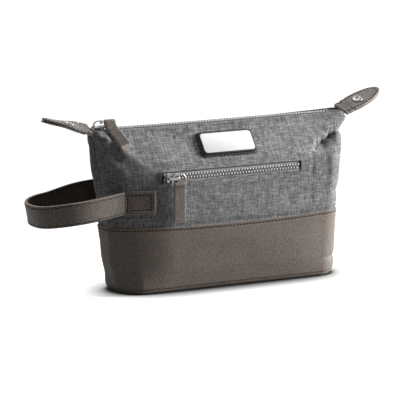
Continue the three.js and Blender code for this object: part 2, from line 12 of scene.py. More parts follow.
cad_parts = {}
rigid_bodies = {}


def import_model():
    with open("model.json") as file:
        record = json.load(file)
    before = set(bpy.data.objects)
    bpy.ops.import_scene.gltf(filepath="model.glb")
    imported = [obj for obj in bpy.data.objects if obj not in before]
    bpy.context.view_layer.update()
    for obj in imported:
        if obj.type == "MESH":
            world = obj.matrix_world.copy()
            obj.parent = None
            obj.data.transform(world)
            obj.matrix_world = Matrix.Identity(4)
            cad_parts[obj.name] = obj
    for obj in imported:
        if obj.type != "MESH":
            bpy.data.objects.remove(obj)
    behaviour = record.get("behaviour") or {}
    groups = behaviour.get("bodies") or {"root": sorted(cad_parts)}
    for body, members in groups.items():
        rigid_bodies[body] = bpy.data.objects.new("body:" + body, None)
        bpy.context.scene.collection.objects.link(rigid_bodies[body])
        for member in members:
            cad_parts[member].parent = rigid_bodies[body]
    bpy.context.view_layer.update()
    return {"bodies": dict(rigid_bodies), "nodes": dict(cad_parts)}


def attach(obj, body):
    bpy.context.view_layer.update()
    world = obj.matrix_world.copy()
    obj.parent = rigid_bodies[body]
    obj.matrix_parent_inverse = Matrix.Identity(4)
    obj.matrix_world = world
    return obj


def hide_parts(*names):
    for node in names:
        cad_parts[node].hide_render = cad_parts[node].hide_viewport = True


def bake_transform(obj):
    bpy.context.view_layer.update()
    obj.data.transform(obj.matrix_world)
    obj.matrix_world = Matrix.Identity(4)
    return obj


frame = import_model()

# The bag's outline
BAND_TOP = 0.060
BEND = 0.1125
PINCH = 0.140
RIDGE = 0.1475
HALF_DEPTH = 0.030
PINCH_HALF_DEPTH = 0.0095
RIDGE_HALF_LENGTH = 0.132
PROFILE = (
    # height, half length, half depth, corner radius
    (0.0, 0.114, HALF_DEPTH, 0.022),
    (BAND_TOP, 0.1165, HALF_DEPTH, 0.020),
    (BEND, 0.121, HALF_DEPTH, 0.015),
    (0.128, 0.124, 0.0184, 0.011),
    (PINCH, 0.130, PINCH_HALF_DEPTH, 0.006),
    (RIDGE, RIDGE_HALF_LENGTH, 0.0065, 0.005),
)
BEND_EASE = 0.005  # the profile's bends are spread over this much each way
EASE_SAMPLES = 9
FRONT_RUN = 0.096  # the outline is straight this far each way from the middle
END_SPAN = 0.046  # nominal run from there round to the end's middle
END = FRONT_RUN + END_SPAN
SHOULDER_RUN = (0.062, 0.100)  # over it the long sides turn in, above the base
SHOULDER_DEPTHS = (0.0052, 0.0001)  # left, right
SHOULDER_RISE = (-0.020, 0.030)
BAND_SHOULDER = 0.0016  # the right end's, in the leather band
BAND_SHOULDER_RISE = (0.050, 0.070)
FOOT_BULGE = 0.0010  # the base's left corner stands out at the front
FOOT_PLACE = (-0.102, -0.026)
FOOT_REACH = 0.030
FOOT_HEIGHT = 0.030
PLAN_BELLY = 0.0026  # the long sides stand out this far at their middle
BELLY_SHARES = ((0.0, 0.0), (0.020, 0.7), (0.045, 1.0), (0.070, 0.9), (0.095, 0.3), (0.112, 0.1))
SHIFT_RUN = (0.070, 0.118)  # over it the ends are pushed out or drawn in
SHIFT_POWER = 1.5
# Height, and how far the end is pushed out there
LEFT_SHIFTS = (
    (0.0, -0.0085), (0.003, -0.0065), (0.008, -0.0048), (0.016, -0.0037), (0.0235, -0.0012),
    (0.031, 0.0004), (0.045, 0.0009), (0.053, 0.0019), (0.060, 0.0027), (0.078, 0.0010),
    (0.100, 0.0008), (0.110, 0.0014), (0.119, 0.0023), (0.1265, 0.0019), (0.134, 0.0),
)
RIGHT_SHIFTS = (
    (0.0, -0.0035), (0.004, 0.0002), (0.009, 0.0020), (0.030, 0.0021), (0.055, 0.0019),
    (0.064, 0.0011), (0.075, -0.0003), (0.090, -0.0003), (0.097, -0.0010), (0.105, -0.0014),
    (0.112, -0.0012), (0.119, 0.0002), (0.1265, 0.0013), (0.131, -0.0002), (0.136, -0.0003),
    (0.1393, 0.0010), (0.1425, 0.0030), (0.145, 0.0012), (0.1475, 0.0004),
)

# Cloth and lining
CLOTH_STEP = 0.0012
STRIP_STEP = 4 * CLOTH_STEP
LIP_STEP = 2 * CLOTH_STEP
BACK_WEAVE = 0.4  # the back's cloth is another cut of the roll
CLOTH_THICKNESS = 0.0012
HEM_THICKNESS = 0.0005
LINING_GAP = 0.0003
LINING_THICKNESS = 0.0005
CLOTH_DEPTHS = (0.0, CLOTH_THICKNESS)
LINING_DEPTHS = (CLOTH_THICKNESS + LINING_GAP, CLOTH_THICKNESS + LINING_GAP + LINING_THICKNESS)
CLOTH_FOOT = 0.0565  # the cloth goes on down behind the band's top edge
HEM_ROLL = ((0.0004, 0.0003), (0.0010, 0.0004), (0.0017, 0.0002), (0.0021, -0.0004))  # in, up
BACK_RISE = (0.0010, 0.0020)  # the back hem stands above the front one, left and right
RISE_START = 0.142
BINDING_THICKNESS = 0.0006
BINDING_ROWS = 2
RIDGE_SAG = 0.0005  # the mouth's edge sags between its ends
SAG_PLACE = -0.015
SAG_REACH = 0.105
FLARE = 0.0020  # the ridge widens at its ends to take the tabs
FLARE_RUN = (0.094, 0.130)
FLARE_RISE = (0.1315, 0.1475)
WALL_BELLY = 0.0007
BELLY_REACH = 0.086
SLOPE_SAG = 0.0005
BAND_PINCH = 0.0011
BAND_PINCH_REACH = 0.0022
SEAM_GROOVE = 0.0006
SEAM_REACH = 0.0009
RIPPLE = 0.00035
RIPPLE_SIZE = 0.024
FINE_RIPPLE = 0.00012
FINE_RIPPLE_SIZE = 0.008
FINE_SEED = 3
BAND_SEED = 7
LINING_SEED = 11
HEM_CALM_SHARE = 0.7  # of the ripple, taken out at the hem
HEM_CALM_REACH = 0.006

# Folds of the cloth: from, to, depth, reach; a negative depth stands proud
FOLDS = (
    # the deep crease under the right tab, with the cloth standing proud over it
    ((0.1256, 0.0040, 0.1318), (0.1216, -0.0110, 0.1324), 0.0030, 0.0026),
    ((0.1216, -0.0110, 0.1324), (0.1110, -0.0172, 0.1296), 0.0027, 0.0026),
    ((0.1110, -0.0172, 0.1296), (0.1018, -0.0199, 0.1261), 0.0032, 0.0028),
    ((0.1018, -0.0199, 0.1261), (0.0949, -0.0212, 0.1244), 0.0026, 0.0028),
    ((0.1090, -0.0210, 0.1255), (0.0990, -0.0240, 0.1205), 0.0024, 0.0060),
    ((0.1000, -0.0225, 0.1225), (0.0930, -0.0250, 0.1190), 0.0016, 0.0044),
    ((0.1278, -0.0070, 0.1400), (0.1080, -0.0150, 0.1350), -0.0010, 0.0036),
    ((0.1080, -0.0150, 0.1350), (0.0900, -0.0200, 0.1275), -0.0011, 0.0036),
    # its run down the wall
    ((0.0949, -0.0212, 0.1244), (0.0902, -0.0246, 0.1198), 0.0018, 0.0026),
    ((0.0902, -0.0246, 0.1198), (0.0842, -0.0280, 0.1148), 0.0007, 0.0026),
    ((0.0842, -0.0290, 0.1140), (0.0826, -0.0310, 0.0950), 0.0004, 0.0018),
    ((0.0826, -0.0310, 0.0950), (0.0820, -0.0310, 0.0640), 0.0002, 0.0016),
    # the right corner's bulge and the small upright folds below the crease
    ((0.1190, -0.0210, 0.1200), (0.1180, -0.0230, 0.0885), -0.0006, 0.0062),
    ((0.1040, -0.0290, 0.1100), (0.1045, -0.0300, 0.0860), -0.0003, 0.0026),
    ((0.0990, -0.0290, 0.1130), (0.1000, -0.0300, 0.0960), 0.0003, 0.0024),
    ((0.1190, -0.0150, 0.0795), (0.1080, -0.0270, 0.0785), 0.0016, 0.0022),
    # the left corner: a soft ridge from the tab down to the wall, with a hollow under it
    ((-0.1300, -0.0050, 0.1450), (-0.1200, -0.0105, 0.1395), -0.0012, 0.0034),
    ((-0.1200, -0.0105, 0.1395), (-0.1060, -0.0175, 0.1300), -0.0015, 0.0042),
    ((-0.1060, -0.0175, 0.1300), (-0.0960, -0.0240, 0.1210), -0.0010, 0.0048),
    ((-0.1280, -0.0040, 0.1365), (-0.1140, -0.0190, 0.1240), 0.0014, 0.0052),
    ((-0.1140, -0.0190, 0.1240), (-0.1030, -0.0270, 0.1140), 0.0008, 0.0060),
    ((-0.0880, -0.0290, 0.1150), (-0.0930, -0.0260, 0.1200), -0.0006, 0.0034),
    ((-0.1120, -0.0290, 0.1080), (-0.1160, -0.0270, 0.0950), -0.0005, 0.0026),
    ((-0.1240, 0.0120, 0.1330), (-0.1200, 0.0200, 0.0980), -0.0024, 0.0110),
    # the back
    ((0.1250, 0.0040, 0.1300), (0.1160, 0.0190, 0.1270), 0.0020, 0.0024),
    ((0.1160, 0.0190, 0.1270), (0.0930, 0.0260, 0.1180), 0.0017, 0.0026),
    ((0.1200, 0.0090, 0.1400), (0.1010, 0.0150, 0.1325), -0.0009, 0.0036),
    ((0.1040, 0.0280, 0.1160), (0.1060, 0.0300, 0.1020), -0.0006, 0.0018),
    ((-0.1150, 0.0195, 0.1265), (-0.0900, 0.0265, 0.1175), 0.0016, 0.0026),
    ((-0.1210, 0.0085, 0.1410), (-0.1030, 0.0150, 0.1330), -0.0009, 0.0036),
    ((-0.0990, 0.0280, 0.1170), (-0.1010, 0.0300, 0.1030), -0.0005, 0.0018),
    ((-0.0300, 0.0290, 0.1150), (-0.0420, 0.0220, 0.1240), 0.0005, 0.0040),
    ((0.0350, 0.0290, 0.1150), (0.0480, 0.0215, 0.1245), 0.0005, 0.0040),
)

# How far the part that turns with the mouth runs each way; past it, the runs to the fixed ends stay in place
FLAP_RUN = 0.066

# Base and leather band
BAND_FOOT = 0.0038
BAND_PROUD = 0.0006
BAND_THICKNESS = 0.0014
BAND_STEP = 0.001
BAND_EDGE = 0.0007
BAND_INNER_STEPS = 4  # so many steps of the outer face make one of the inner
BAND_STITCH_DROP = 0.0026
BAND_STITCH_GROOVE = 0.0003
BAND_STITCH_REACH = 0.0008
BAND_SMILE = (0.0011, -0.0007)  # the top edge dips in the middle and rises at the ends
BAND_NOTCH = (0.1110, -0.0230, 0.0165)  # a pinch in the right corner over the base
BAND_NOTCH_DEPTH = 0.0018
BAND_NOTCH_REACH = (0.012, 0.0022)
BAND_WAVE = 0.0006
BAND_WAVE_SIZE = 0.045
BAND_SEAM_STATIONS = 300
BASE_LIFT = 0.0003  # the front and back edges rise off the table in the middle
LIFT_REACH = 0.100
LIFT_START = 0.017
LIFT_HEIGHT = 0.040
BASE_ROUND = 0.0032
BASE_RIM = 0.0035
BASE_INNER = 4 * BASE_ROUND  # inside this line one flat face closes the sole, and one the card
BASE_FLOOR = 0.0016
BOARD_THICKNESS = 0.002
BOARD_INSET = 0.0032
ROUND_STATIONS = 24
BAND_STATIONS = 96
BASE_STATIONS = 48

# Zip chain and slider, in the slider's own frame
TOOTH_PITCH = 0.003
TOOTH_WIDTH = 0.0018
TOOTH_HEIGHT = 0.0022
TOOTH_INNER = -0.0003
TOOTH_OUTER = 0.0029
RIDGE_TOOTH_HEIGHT = 0.0028
RIDGE_TOOTH_WIDTH = 0.0014
RIDGE_TOOTH_INNER = 0.0005
BACK_ROW_DROP = 0.0008
CHAIN_HALF_WIDTH = 0.0029
CHAIN_HALF_HEIGHT = 0.0012
CHAIN_HEIGHT = 0.1482
TAPE_THICKNESS = 0.0008
TAPE_INNER = 0.0012
RIDGE_TAPE_EDGE = 0.0060
PLATE_LENGTH = 0.013
PLATE_WIDTH = 0.009
PLATE_CORNER = 0.002
PLATE_WAIST_SHARE = 0.16
PLATE_CROWN_SHARES = (0.8, 0.5, 0.2)
PLATE_GAP = 0.0004
TOP_PLATE = 0.0016
BOTTOM_PLATE = 0.0012
POST_WIDTH = 0.0010
METAL_EDGE = 0.0004
BOW_LENGTH = 0.0124
BOW_HEIGHT = 0.0050
BOW_THICKNESS = 0.0011
BOW_WIDTH = 0.0022
BOW_CORNER = 0.0042
STOP_WIDTH = 0.0016
STOP_GAP = 0.0005
WIRE_RADIUS = 0.0007
RING_AXIS_RISE = 0.00255
RING_HALF_WIDTH = 0.0069
BAR_REACH = 0.006
RING_HEIGHT = 0.010
RING_FILLET = 0.0009
PULL_LEATHER = 0.0012
PULL_GAP = 0.0002
PULL_TAPER = 0.0045
PULL_HOLE = 0.00105
PULL_WRAP = math.radians(129.6)  # the fold goes this far each way round the ring's bar
PULL_REST = math.radians(2)  # the hanging pull lies in towards the cloth by this much more
PULL_SINK_RUN = 0.010
# length, width, slant, end slope, step, roll, sink
MAIN_PULL = (0.0262, 0.0098, 0.46, 0.26, 0.0028, math.radians(-8), 0.0022)
POCKET_PULL = (0.0349, 0.0112, 0.0, 0.0, 0.0004, 0, 0)
MAIN_SLIDER_REST = -0.122
MAIN_TRAVEL = 0.230
MAIN_RING_OFFSET = 0.007
MAIN_RING_TILT = math.radians(15)
POCKET_RING_OFFSET = 0.0045

# Front pocket
POCKET_LEFT = -0.076
POCKET_RIGHT = 0.071
POCKET_MIDDLE = 0.1045
POCKET_HALF_HEIGHT = 0.0055
POCKET_LOW = POCKET_MIDDLE - POCKET_HALF_HEIGHT
POCKET_HIGH = POCKET_MIDDLE + POCKET_HALF_HEIGHT
POCKET_SLIDER_REST = -0.0645
POCKET_LIP = 0.0007
POCKET_LIP_CORNER = 0.0016
POCKET_GAP = 0.0010
POCKET_TAPES = (
    # name, side, how far it reaches past the window's edge, how far it sinks there
    ("upper", 1, -POCKET_GAP, 0.0012),
    ("lower", -1, CLOTH_THICKNESS, 0.0004),
)
FACING_SIZE = (0.0013, 0.0004, 0.0003)  # the fold over the lower tape: half width, half thickness, edge
FACING_PLACE = (-0.0046, 0.0009)  # across, out
POCKET_END_GAPS = (0.0030, 0.0016)  # left, right
POUCH_DEPTH = 0.003
POUCH_INSET = 0.0024
POUCH_SIDE = 0.006
POUCH_HEIGHT = 0.084
POUCH_COLUMNS = 60
POUCH_ROWS = 30

# Label
LABEL_WIDTH = 0.0575
LABEL_HEIGHT = 0.0246
LABEL_CORNER = 0.0042
LABEL_THICKNESS = 0.0016
LABEL_RISE = 0.0210
LABEL_GAP = 0.0003
LABEL_EDGE = 0.0005
LABEL_SHIFT = -0.0012
LABEL_FLANGE = 0.0006
BLOCK_MARGIN = 0.0011
PLATE_MARGIN = 0.0025
LABEL_PLATE_THICKNESS = 0.001
LABEL_PLATE_EDGE = 0.0003
LABEL_STITCH_INSET = 0.0003

# Carry loop
STRAP_WIDTH = 0.0205
STRAP_HEIGHT = 0.08375
STRAP_THICKNESS = 0.0031
STRAP_ROOT = 0.03185
STRAP_SEWN_LEFT = -0.110
STRAP_SEWN_RIGHT = -0.082
STRAP_FAR_END = -0.1884
STRAP_BOW = 0.011
STRAP_SWEEP_SHARE = 0.75
STRAP_BOW_SHARE = 0.8
STRAP_DROOP = 0.0058
STRAP_BACK_RISE = 0.0060  # the back end is sewn on higher
STRAP_RISE_SHARES = (0.80, 1.0)
STRAP_TIP_DROOP = 0.0022
STRAP_TIP_POWER = 6
STRAP_LEAN_SHARE = 0.22  # how far the turn's upper edge leans out, of its height
STRAP_STEPS = 120
STRAP_SAMPLES = 4000
STRAP_FACE_STEPS = 14
STRAP_EDGE = 0.0009
STRAP_STITCH_INSET = 0.0021
SEWN_THICKNESS = 0.0024
SEWN_RECESS = 0.0011
SEWN_FRAME = 0.0030
SEWN_SLOPE = 0.0009
SEWN_STEP = 0.0006
SEWN_STITCH_INSET = 0.0036
PIPING_RADII = (0.00022, 0.00062)  # along the sides, at the end

# End tabs
TAB_LENGTH = 0.045
TAB_HALF_WIDTH = 0.0104
TAB_WIDEST_SHARE = 0.35
TAB_WIDEST = TAB_LENGTH * TAB_WIDEST_SHARE
TAB_BASE_SHARE = 0.9
TAB_LEATHER = 0.0015
TAB_PART = 0.0002  # the two layers stand this far apart at the tip
TAB_ROOT = 0.00165
TAB_OFFSET = 0.13395
TAB_RISE = 0.0008
TAB_STITCH_INSET = 0.0017
TAB_CREASES = ((0.0022, 0.16), (0.0052, -0.1), (0.0084, 0.2))  # along, slant share
TAB_CREASE_DEPTH = 0.0006
TAB_CREASE_REACH = 0.0008
TWIST_RUN = (0.004, 0.030)
TABS = (
    # name, side, pitch, roll, turn, more roll at the root
    ("left_tab", -1, math.radians(14.5), math.radians(-3), math.radians(174), math.radians(-16)),
    ("right_tab", 1, math.radians(21), math.radians(18), math.radians(12), 0.0),
)
RIVET_ALONG = 0.019
RIVET_CAP = 0.0051
RIVET_CAP_HEIGHT = 0.0016
RIVET_WASHER = 0.004
RIVET_WASHER_HEIGHT = 0.001
# Shares of the radius and of the height
RIVET_CAP_SHARES = (
    (0.96, 0.0), (1.0, 0.2), (0.97, 0.5), (0.86, 0.75), (0.7, 0.92),
    (0.52, 1.0), (0.4, 0.96), (0.32, 0.6), (0.26, 0.3), (0.06, 0.26),
)
RIVET_WASHER_SHARES = ((0.98, 0.0), (1.0, 0.3), (0.93, 0.8), (0.7, 1.0), (0.3, 1.0), (0.06, 0.9))

# Lining of the lower part
TUB_INSET = 0.0053
TUB_FLOOR = 0.0057
TUB_FLARE = 0.030
TUB_STATIONS = 120
TUB_ROWS = 28

# Stitches, steps of the round forms, and meshing
STITCH_SIZE = (0.0034, 0.0024, 0.0009, 0.0005)  # pitch, length, width, height
BAR_CREASE = 0.45
MERGE = 0.000005
STATION_SLACK = 10 * np.finfo(float).eps  # two stations this near are one
SHARP_ANGLE = math.radians(50)
QUARTER = math.pi / 2
EDGE_STEPS = 3
FACE_STEPS = 8
RIM_STEPS = 4
FILLET_STEPS = 6
BOW_STEPS = 8
LIP_STEPS = 10
WIRE_STEPS = 14
PIPING_STEPS = 8
LATHE_STEPS = 28
RING_STEPS = 24
FOLD_STEPS = 16
STRIP_STEPS = 12
TAB_STEPS = 60
TIP_STEPS = 20
TAB_SEAM_STEPS = 39
TAB_FACE_STEPS = 16
ACROSS = Vector((1, 0, 0))
AWAY = Vector((0, 1, 0))
UP = Vector((0, 0, 1))

# Weave, grain and specks
THREAD_PITCH = 0.0006
SLUB_THREADS = 1.7
STRAND_SPACING = 60  # how far apart the threads' tones are read
THREAD_DRIFT = 0.09
SLUB_DRIFT = 0.045
THREAD_SHARE = 0.62
CLOTH_TONE_SHARES = (0.33, 0.67)
CLOTH_ROUGHNESS = 0.92
CLOTH_SHEEN = 0.15
WEAVE_BUMP = 0.6
GRAIN_BUMP = 0.8
SPECK_BUMP = 0.7
GRAIN_SIZE = 0.0010
GRAIN_DEPTH = 0.00014
GRAIN_SMOOTHNESS = 0.35
WANDER_GRAINS = 3
MOTTLE_GRAINS = 18
PORES_PER_GRAIN = 3
PORE_SHARE = 0.25
PEBBLE_SHARES = (0.1, 0.75)
GROOVE_SHARES = (0.15, 0.6)
MOTTLE_SHARES = (0.35, 0.65)
PEBBLE_ROUGHNESS = (0.12, -0.06)  # more in the grooves, less on the crowns
SPECK_DRIFT = 12
SPECK_SHARE = 0.7
SPECK_SHARES = (0.35, 0.65)
DRIFT_SHARES = (0.3, 0.7)
SPECK_ROUGHNESS = 0.06
RIB_FLECK = 0.35
FLECK_SHARES = (0.3, 0.7)
RIB_ROUGHNESS = 0.85

# Finishes; colours are screen bytes
MELANGE_CLOTH = ("melange_cloth", (62, 62, 63), (120, 120, 121), (178, 178, 179))
RIBBED = (
    # name, dark, light, pitch
    ("lining_weave", (38, 39, 42), (52, 53, 57), 0.0006),
    # the pocket's tapes: their own light grey, painted lighter still to make up for the lip's shade over them
    ("zip_tape", (168, 169, 171), (198, 199, 201), 0.0007),
    ("ridge_tape", (74, 75, 77), (98, 99, 101), 0.0007),
    # the back tape and the back hem's binding: painted dark for shade
    ("back_zip_tape", (34, 34, 35), (58, 58, 60), 0.0007),
)
PEBBLED = (
    # name, groove, body, crown, roughness, shine
    ("band_leather", (109, 100, 93), (127, 117, 109), (134, 124, 116), 0.6, 0.25),
    ("strap_leather", (70, 63, 57), (106, 97, 90), (124, 114, 106), 0.5, 0.5),
    ("loop_leather", (64, 57, 51), (93, 84, 77), (109, 98, 90), 0.55, 0.4),
    # the loop's inner face: its leather painted darker and duller for the shade inside the loop
    ("loop_lining", (60, 54, 50), (80, 72, 67), (88, 80, 74), 0.8, 0.15),
    ("sewn_leather", (98, 89, 83), (131, 119, 111), (142, 130, 122), 0.65, 0.3),
    ("label_rim", (24, 24, 25), (40, 40, 42), (50, 50, 52), 0.55, 0.25),
)
SPECKLED = (
    # name, dark, light, speck, roughness, bump, metallic, shine
    ("cut_leather_edge", (168, 159, 148), (214, 206, 194), 0.0005, 0.9, 0.0001, 0.0, 0.5),
    ("loop_edge", (118, 110, 101), (154, 145, 135), 0.0005, 0.9, 0.0001, 0.0, 0.5),
    ("label_thread", (74, 74, 76), (104, 104, 106), 0.0003, 0.8, 0.00005, 0.0, 0.5),
    # dark thread, painted darker still for the shade of the grooves that it lies in
    ("sewing_thread", (20, 18, 17), (38, 35, 33), 0.0003, 0.9, 0.00005, 0.0, 0.1),
    ("nickel", (132, 130, 128), (168, 166, 163), 0.0012, 0.26, 0.00001, 1.0, 0.5),
    # the mouth's teeth: the front row painted light as if lit, the back row painted dark for shade
    ("bright_zip_teeth", (226, 225, 223), (244, 243, 241), 0.0009, 0.6, 0.00001, 0.0, 0.2),
    ("dark_zip_teeth", (52, 52, 51), (78, 77, 76), 0.0009, 0.6, 0.00001, 0.0, 0.2),
    ("zip_teeth", (116, 115, 113), (150, 149, 146), 0.0009, 0.5, 0.00001, 0.8, 0.5),
    ("rivet_nickel", (112, 110, 107), (140, 138, 134), 0.0012, 0.42, 0.00001, 1.0, 0.5),
    ("label_plate", (238, 238, 237), (244, 244, 243), 0.0009, 0.75, 0.00001, 0.0, 0.5),
    ("base_card", (118, 102, 78), (150, 134, 106), 0.0008, 0.9, 0.00005, 0.0, 0.5),
)

# Camera, floor and lamps
CAMERA_AIM = (math.radians(-30), math.radians(9.5), 3.0)  # azimuth, elevation, distance
CAMERA_TARGET = (-0.0185, 0.0, 0.076)
SENSOR_WIDTH_MM = 36
LENS_MM = 297
CLIP_END = 30.0
FLOOR_HALF_SIZE = 4.0
FLOOR_ROUGHNESS = 0.9
FLOOR_GLOW = 0.66
FLOOR_FADE = (0.20, 0.36)  # from the bag's middle, where the lit paper turns to plain white
# The painted contact shadow: ambient occlusion darkens the floor's colour and glow near the bag
CONTACT_REACH = 0.05  # how far the dark under the bag's edge spreads
CONTACT_SHARES = (0.48, 0.88)
CONTACT_SAMPLES = 16
WORLD_FILL = 0.11
WHITE = (1, 1, 1, 1)
BLACK = (0, 0, 0, 1)
FLOOR_SEEN = (0.8, 0.8, 0.8, 1)
FLOOR_BOUNCE = (0.10, 0.10, 0.10, 1)
LAMPS = (
    # name, size, power, azimuth, elevation, distance
    ("key", 0.8, 92.0, math.radians(77), math.radians(16), 2.0),
    ("top", 0.9, 12.5, math.radians(178), math.radians(66), 1.3),
)

SIDES = (("front", -1), ("back", 1))
SLOPE_ANGLE = math.atan2(PINCH - BEND, HALF_DEPTH - PINCH_HALF_DEPTH)


# Curves and small forms


def smooth_step(value, low, high):
    share = np.clip((np.asarray(value, float) - low) / (high - low), 0, 1)
    return share * share * (3 - 2 * share)


def bell(value, reach):
    return np.exp(-((value / reach) ** 2))


def dome(value, reach):
    return np.clip(1 - (value / reach) ** 2, 0, None)


def beyond(value, run):
    """How far past a run's start, counted in lengths of the run."""
    return np.clip((np.abs(value) - run[0]) / (run[1] - run[0]), 0, None)


def look_up(table, at):
    return np.interp(at, *np.array(table).T)


def arc(middle, radius, start, sweep, steps):
    """Points of an arc in a plane, both its ends included."""
    turns = start + np.linspace(0, sweep, steps + 1)
    return np.stack([middle[0] + radius * np.cos(turns), middle[1] + radius * np.sin(turns)], axis=1)


def circle(middle, across, up, radius, steps):
    """Points round a circle in the plane of two directions."""
    turns = [step / steps * math.tau for step in range(steps)]
    return [middle + radius * (across * math.cos(turn) + up * math.sin(turn)) for turn in turns]


def placed(place, points):
    """These points, moved from a part's own frame to the bag's."""
    return np.array([place @ Vector(point) for point in points])


def runs(line):
    """The direction of a line at each of its points."""
    ends = zip([line[0], *line[:-1]], [*line[1:], line[-1]])
    return [(Vector(after) - Vector(before)).normalized() for before, after in ends]


def corner_arcs(half_width, half_height, corner, steps):
    """The rounded corners of a rectangle about the origin, counter-clockwise."""
    arcs = []
    for turn, (across, up) in enumerate(((1, 1), (-1, 1), (-1, -1), (1, -1))):
        middle = (across * (half_width - corner), up * (half_height - corner))
        arcs.append(arc(middle, corner, turn * QUARTER, QUARTER, steps))
    return arcs


def rounded_outline(width, height, corner):
    return np.concatenate(corner_arcs(width / 2, height / 2, corner, FILLET_STEPS))


def soft_bar(half_width, half_thickness, edge, face_steps=FACE_STEPS, wrap=0):
    """Cross-section of a strip with rounded edges: its points (across, out), and the sides that
    are the strip's cut edges, with this many steps of the corners beside them."""
    points, cut = [], []
    for turn, corner in enumerate(corner_arcs(half_width, half_thickness, edge, EDGE_STEPS)):
        for step, point in enumerate(corner):
            if step < wrap if turn in (0, 2) else step >= EDGE_STEPS - wrap:
                cut.append(len(points))
            points.append(point)
        if turn in (0, 2):
            sign = 1 - turn
            face = np.linspace(half_width - edge, edge - half_width, face_steps + 1)[1:-1]
            points += [(sign * across, sign * half_thickness) for across in face]
    return np.array(points), cut


def plan_normals(points):
    """Unit directions out of a closed, counter-clockwise plan outline."""
    run = np.roll(points, -1, axis=0) - np.roll(points, 1, axis=0)
    normals = np.stack([run[:, 1], -run[:, 0]], axis=1)
    return normals / np.linalg.norm(normals, axis=1, keepdims=True)


# Finishes


def paint(colour):
    """A linear colour from the three bytes of a screen colour."""
    shares = [channel / 255 for channel in colour]
    return [*[s / 12.92 if s <= 0.04045 else ((s + 0.055) / 1.055) ** 2.4 for s in shares], 1]


class Nodes:
    """Short calls that add nodes to a tree and feed their sockets."""

    def __init__(self, tree):
        self.tree = tree

    def feed(self, socket, value):
        if isinstance(value, bpy.types.NodeSocket):
            self.tree.links.new(value, socket)
        else:
            socket.default_value = value

    def node(self, kind, settings=None, *values, **inputs):
        made = self.tree.nodes.new(kind)
        for key, value in (settings or {}).items():
            setattr(made, key, value)
        for socket, value in zip(made.inputs, values):
            self.feed(socket, value)
        for label, value in inputs.items():
            self.feed(made.inputs[label.replace("_", " ")], value)
        return made

    def calculate(self, operation, *values):
        return self.node("ShaderNodeMath", {"operation": operation}, *values).outputs["Value"]

    def seen(self):
        """1 for rays from the camera or off a shiny surface, 0 for all others."""
        rays = self.node("ShaderNodeLightPath").outputs
        return self.calculate("MAXIMUM", rays["Is Camera Ray"], rays["Is Glossy Ray"])


class Finish(Nodes):
    """One material, with the nodes that several finishes share."""

    def __init__(self, name, roughness, metallic=0.0, sheen=0.0, shine=0.5):
        self.material = bpy.data.materials.new(name)
        self.material.use_nodes = True
        super().__init__(self.material.node_tree)
        self.put("Roughness", roughness)
        self.put("Metallic", metallic)
        self.put("Sheen Weight", sheen)
        self.put("Specular IOR Level", shine)

    def put(self, label, value):
        self.feed(self.tree.nodes["Principled BSDF"].inputs[label], value)

    def place(self):
        return self.node("ShaderNodeTexCoord").outputs["Object"]

    def counts(self, pitch):
        """The piece's own UV map, in threads or ribs."""
        surface = self.node("ShaderNodeUVMap").outputs["UV"]
        return self.vector("MULTIPLY", surface, [1 / pitch, 1 / pitch, 1])

    def vector(self, operation, *values):
        return self.node("ShaderNodeVectorMath", {"operation": operation}, *values).outputs["Vector"]

    def noise(self, vector, scale, detail=2.0, kind="3D"):
        settings = {"noise_dimensions": kind}
        made = self.node("ShaderNodeTexNoise", settings, Vector=vector, Scale=scale, Detail=detail)
        return made.outputs["Fac"]

    def spread(self, value, low, high, to_low=0.0, to_high=1.0):
        ends = {"From_Min": low, "From_Max": high, "To_Min": to_low, "To_Max": to_high}
        return self.node("ShaderNodeMapRange", Value=value, **ends).outputs["Result"]

    def mix(self, factor, first, second, kind="RGBA"):
        made = self.node("ShaderNodeMix", {"data_type": kind})
        start, result = (6, 2) if kind == "RGBA" else (2, 0)
        for at, value in ((0, factor), (start, first), (start + 1, second)):
            self.feed(made.inputs[at], value)
        return made.outputs[result]

    def weighted(self, first, second, share):
        parts = [self.calculate("MULTIPLY", *part) for part in ((first, share), (second, 1 - share))]
        return self.calculate("ADD", *parts)

    def bump(self, height, distance, strength):
        made = self.node("ShaderNodeBump", Height=height, Distance=distance, Strength=strength)
        self.put("Normal", made.outputs["Normal"])


def strand_tone(cloth, index, run):
    """The lightness of each thread along its run, with slubs a few threads wide."""
    tones = []
    slub = cloth.calculate("DIVIDE", index, SLUB_THREADS)
    for strand, drift in ((index, THREAD_DRIFT), (slub, SLUB_DRIFT)):
        number = cloth.calculate("FLOOR", strand)
        seed = cloth.node("ShaderNodeTexWhiteNoise", {"noise_dimensions": "1D"}, W=number)
        apart = cloth.calculate("MULTIPLY", seed.outputs["Value"], STRAND_SPACING)
        along = cloth.calculate("MULTIPLY", run, drift)
        place = cloth.node("ShaderNodeCombineXYZ", {}, apart, along).outputs["Vector"]
        tones.append(cloth.noise(place, 1, 1, "2D"))
    return cloth.weighted(*tones, THREAD_SHARE)


def melange(name, *tones):
    """Plain-woven cloth of mixed light and dark yarns, on the piece's own UV map in metres."""
    cloth = Finish(name, CLOTH_ROUGHNESS, sheen=CLOTH_SHEEN)
    dark, middle, light = map(paint, tones)
    axes = cloth.node("ShaderNodeSeparateXYZ", Vector=cloth.counts(THREAD_PITCH)).outputs
    across, up = axes["X"], axes["Y"]
    crossing = cloth.calculate("ADD", cloth.calculate("FLOOR", across), cloth.calculate("FLOOR", up))
    over = cloth.calculate("PINGPONG", crossing, 1)
    warp, weft = strand_tone(cloth, across, up), strand_tone(cloth, up, across)
    tone = cloth.spread(cloth.mix(over, weft, warp, "FLOAT"), *CLOTH_TONE_SHARES)
    low = cloth.mix(cloth.spread(tone, 0, 1 / 2), dark, middle)
    cloth.put("Base Color", cloth.mix(cloth.spread(tone, 1 / 2, 1), low, light))
    waves = []
    for run in (up, across):
        wave = cloth.calculate("MULTIPLY", cloth.calculate("FRACT", run), math.pi)
        waves.append(cloth.calculate("SINE", wave))
    cloth.bump(cloth.mix(over, *waves, "FLOAT"), THREAD_PITCH / 4, WEAVE_BUMP)
    return cloth.material


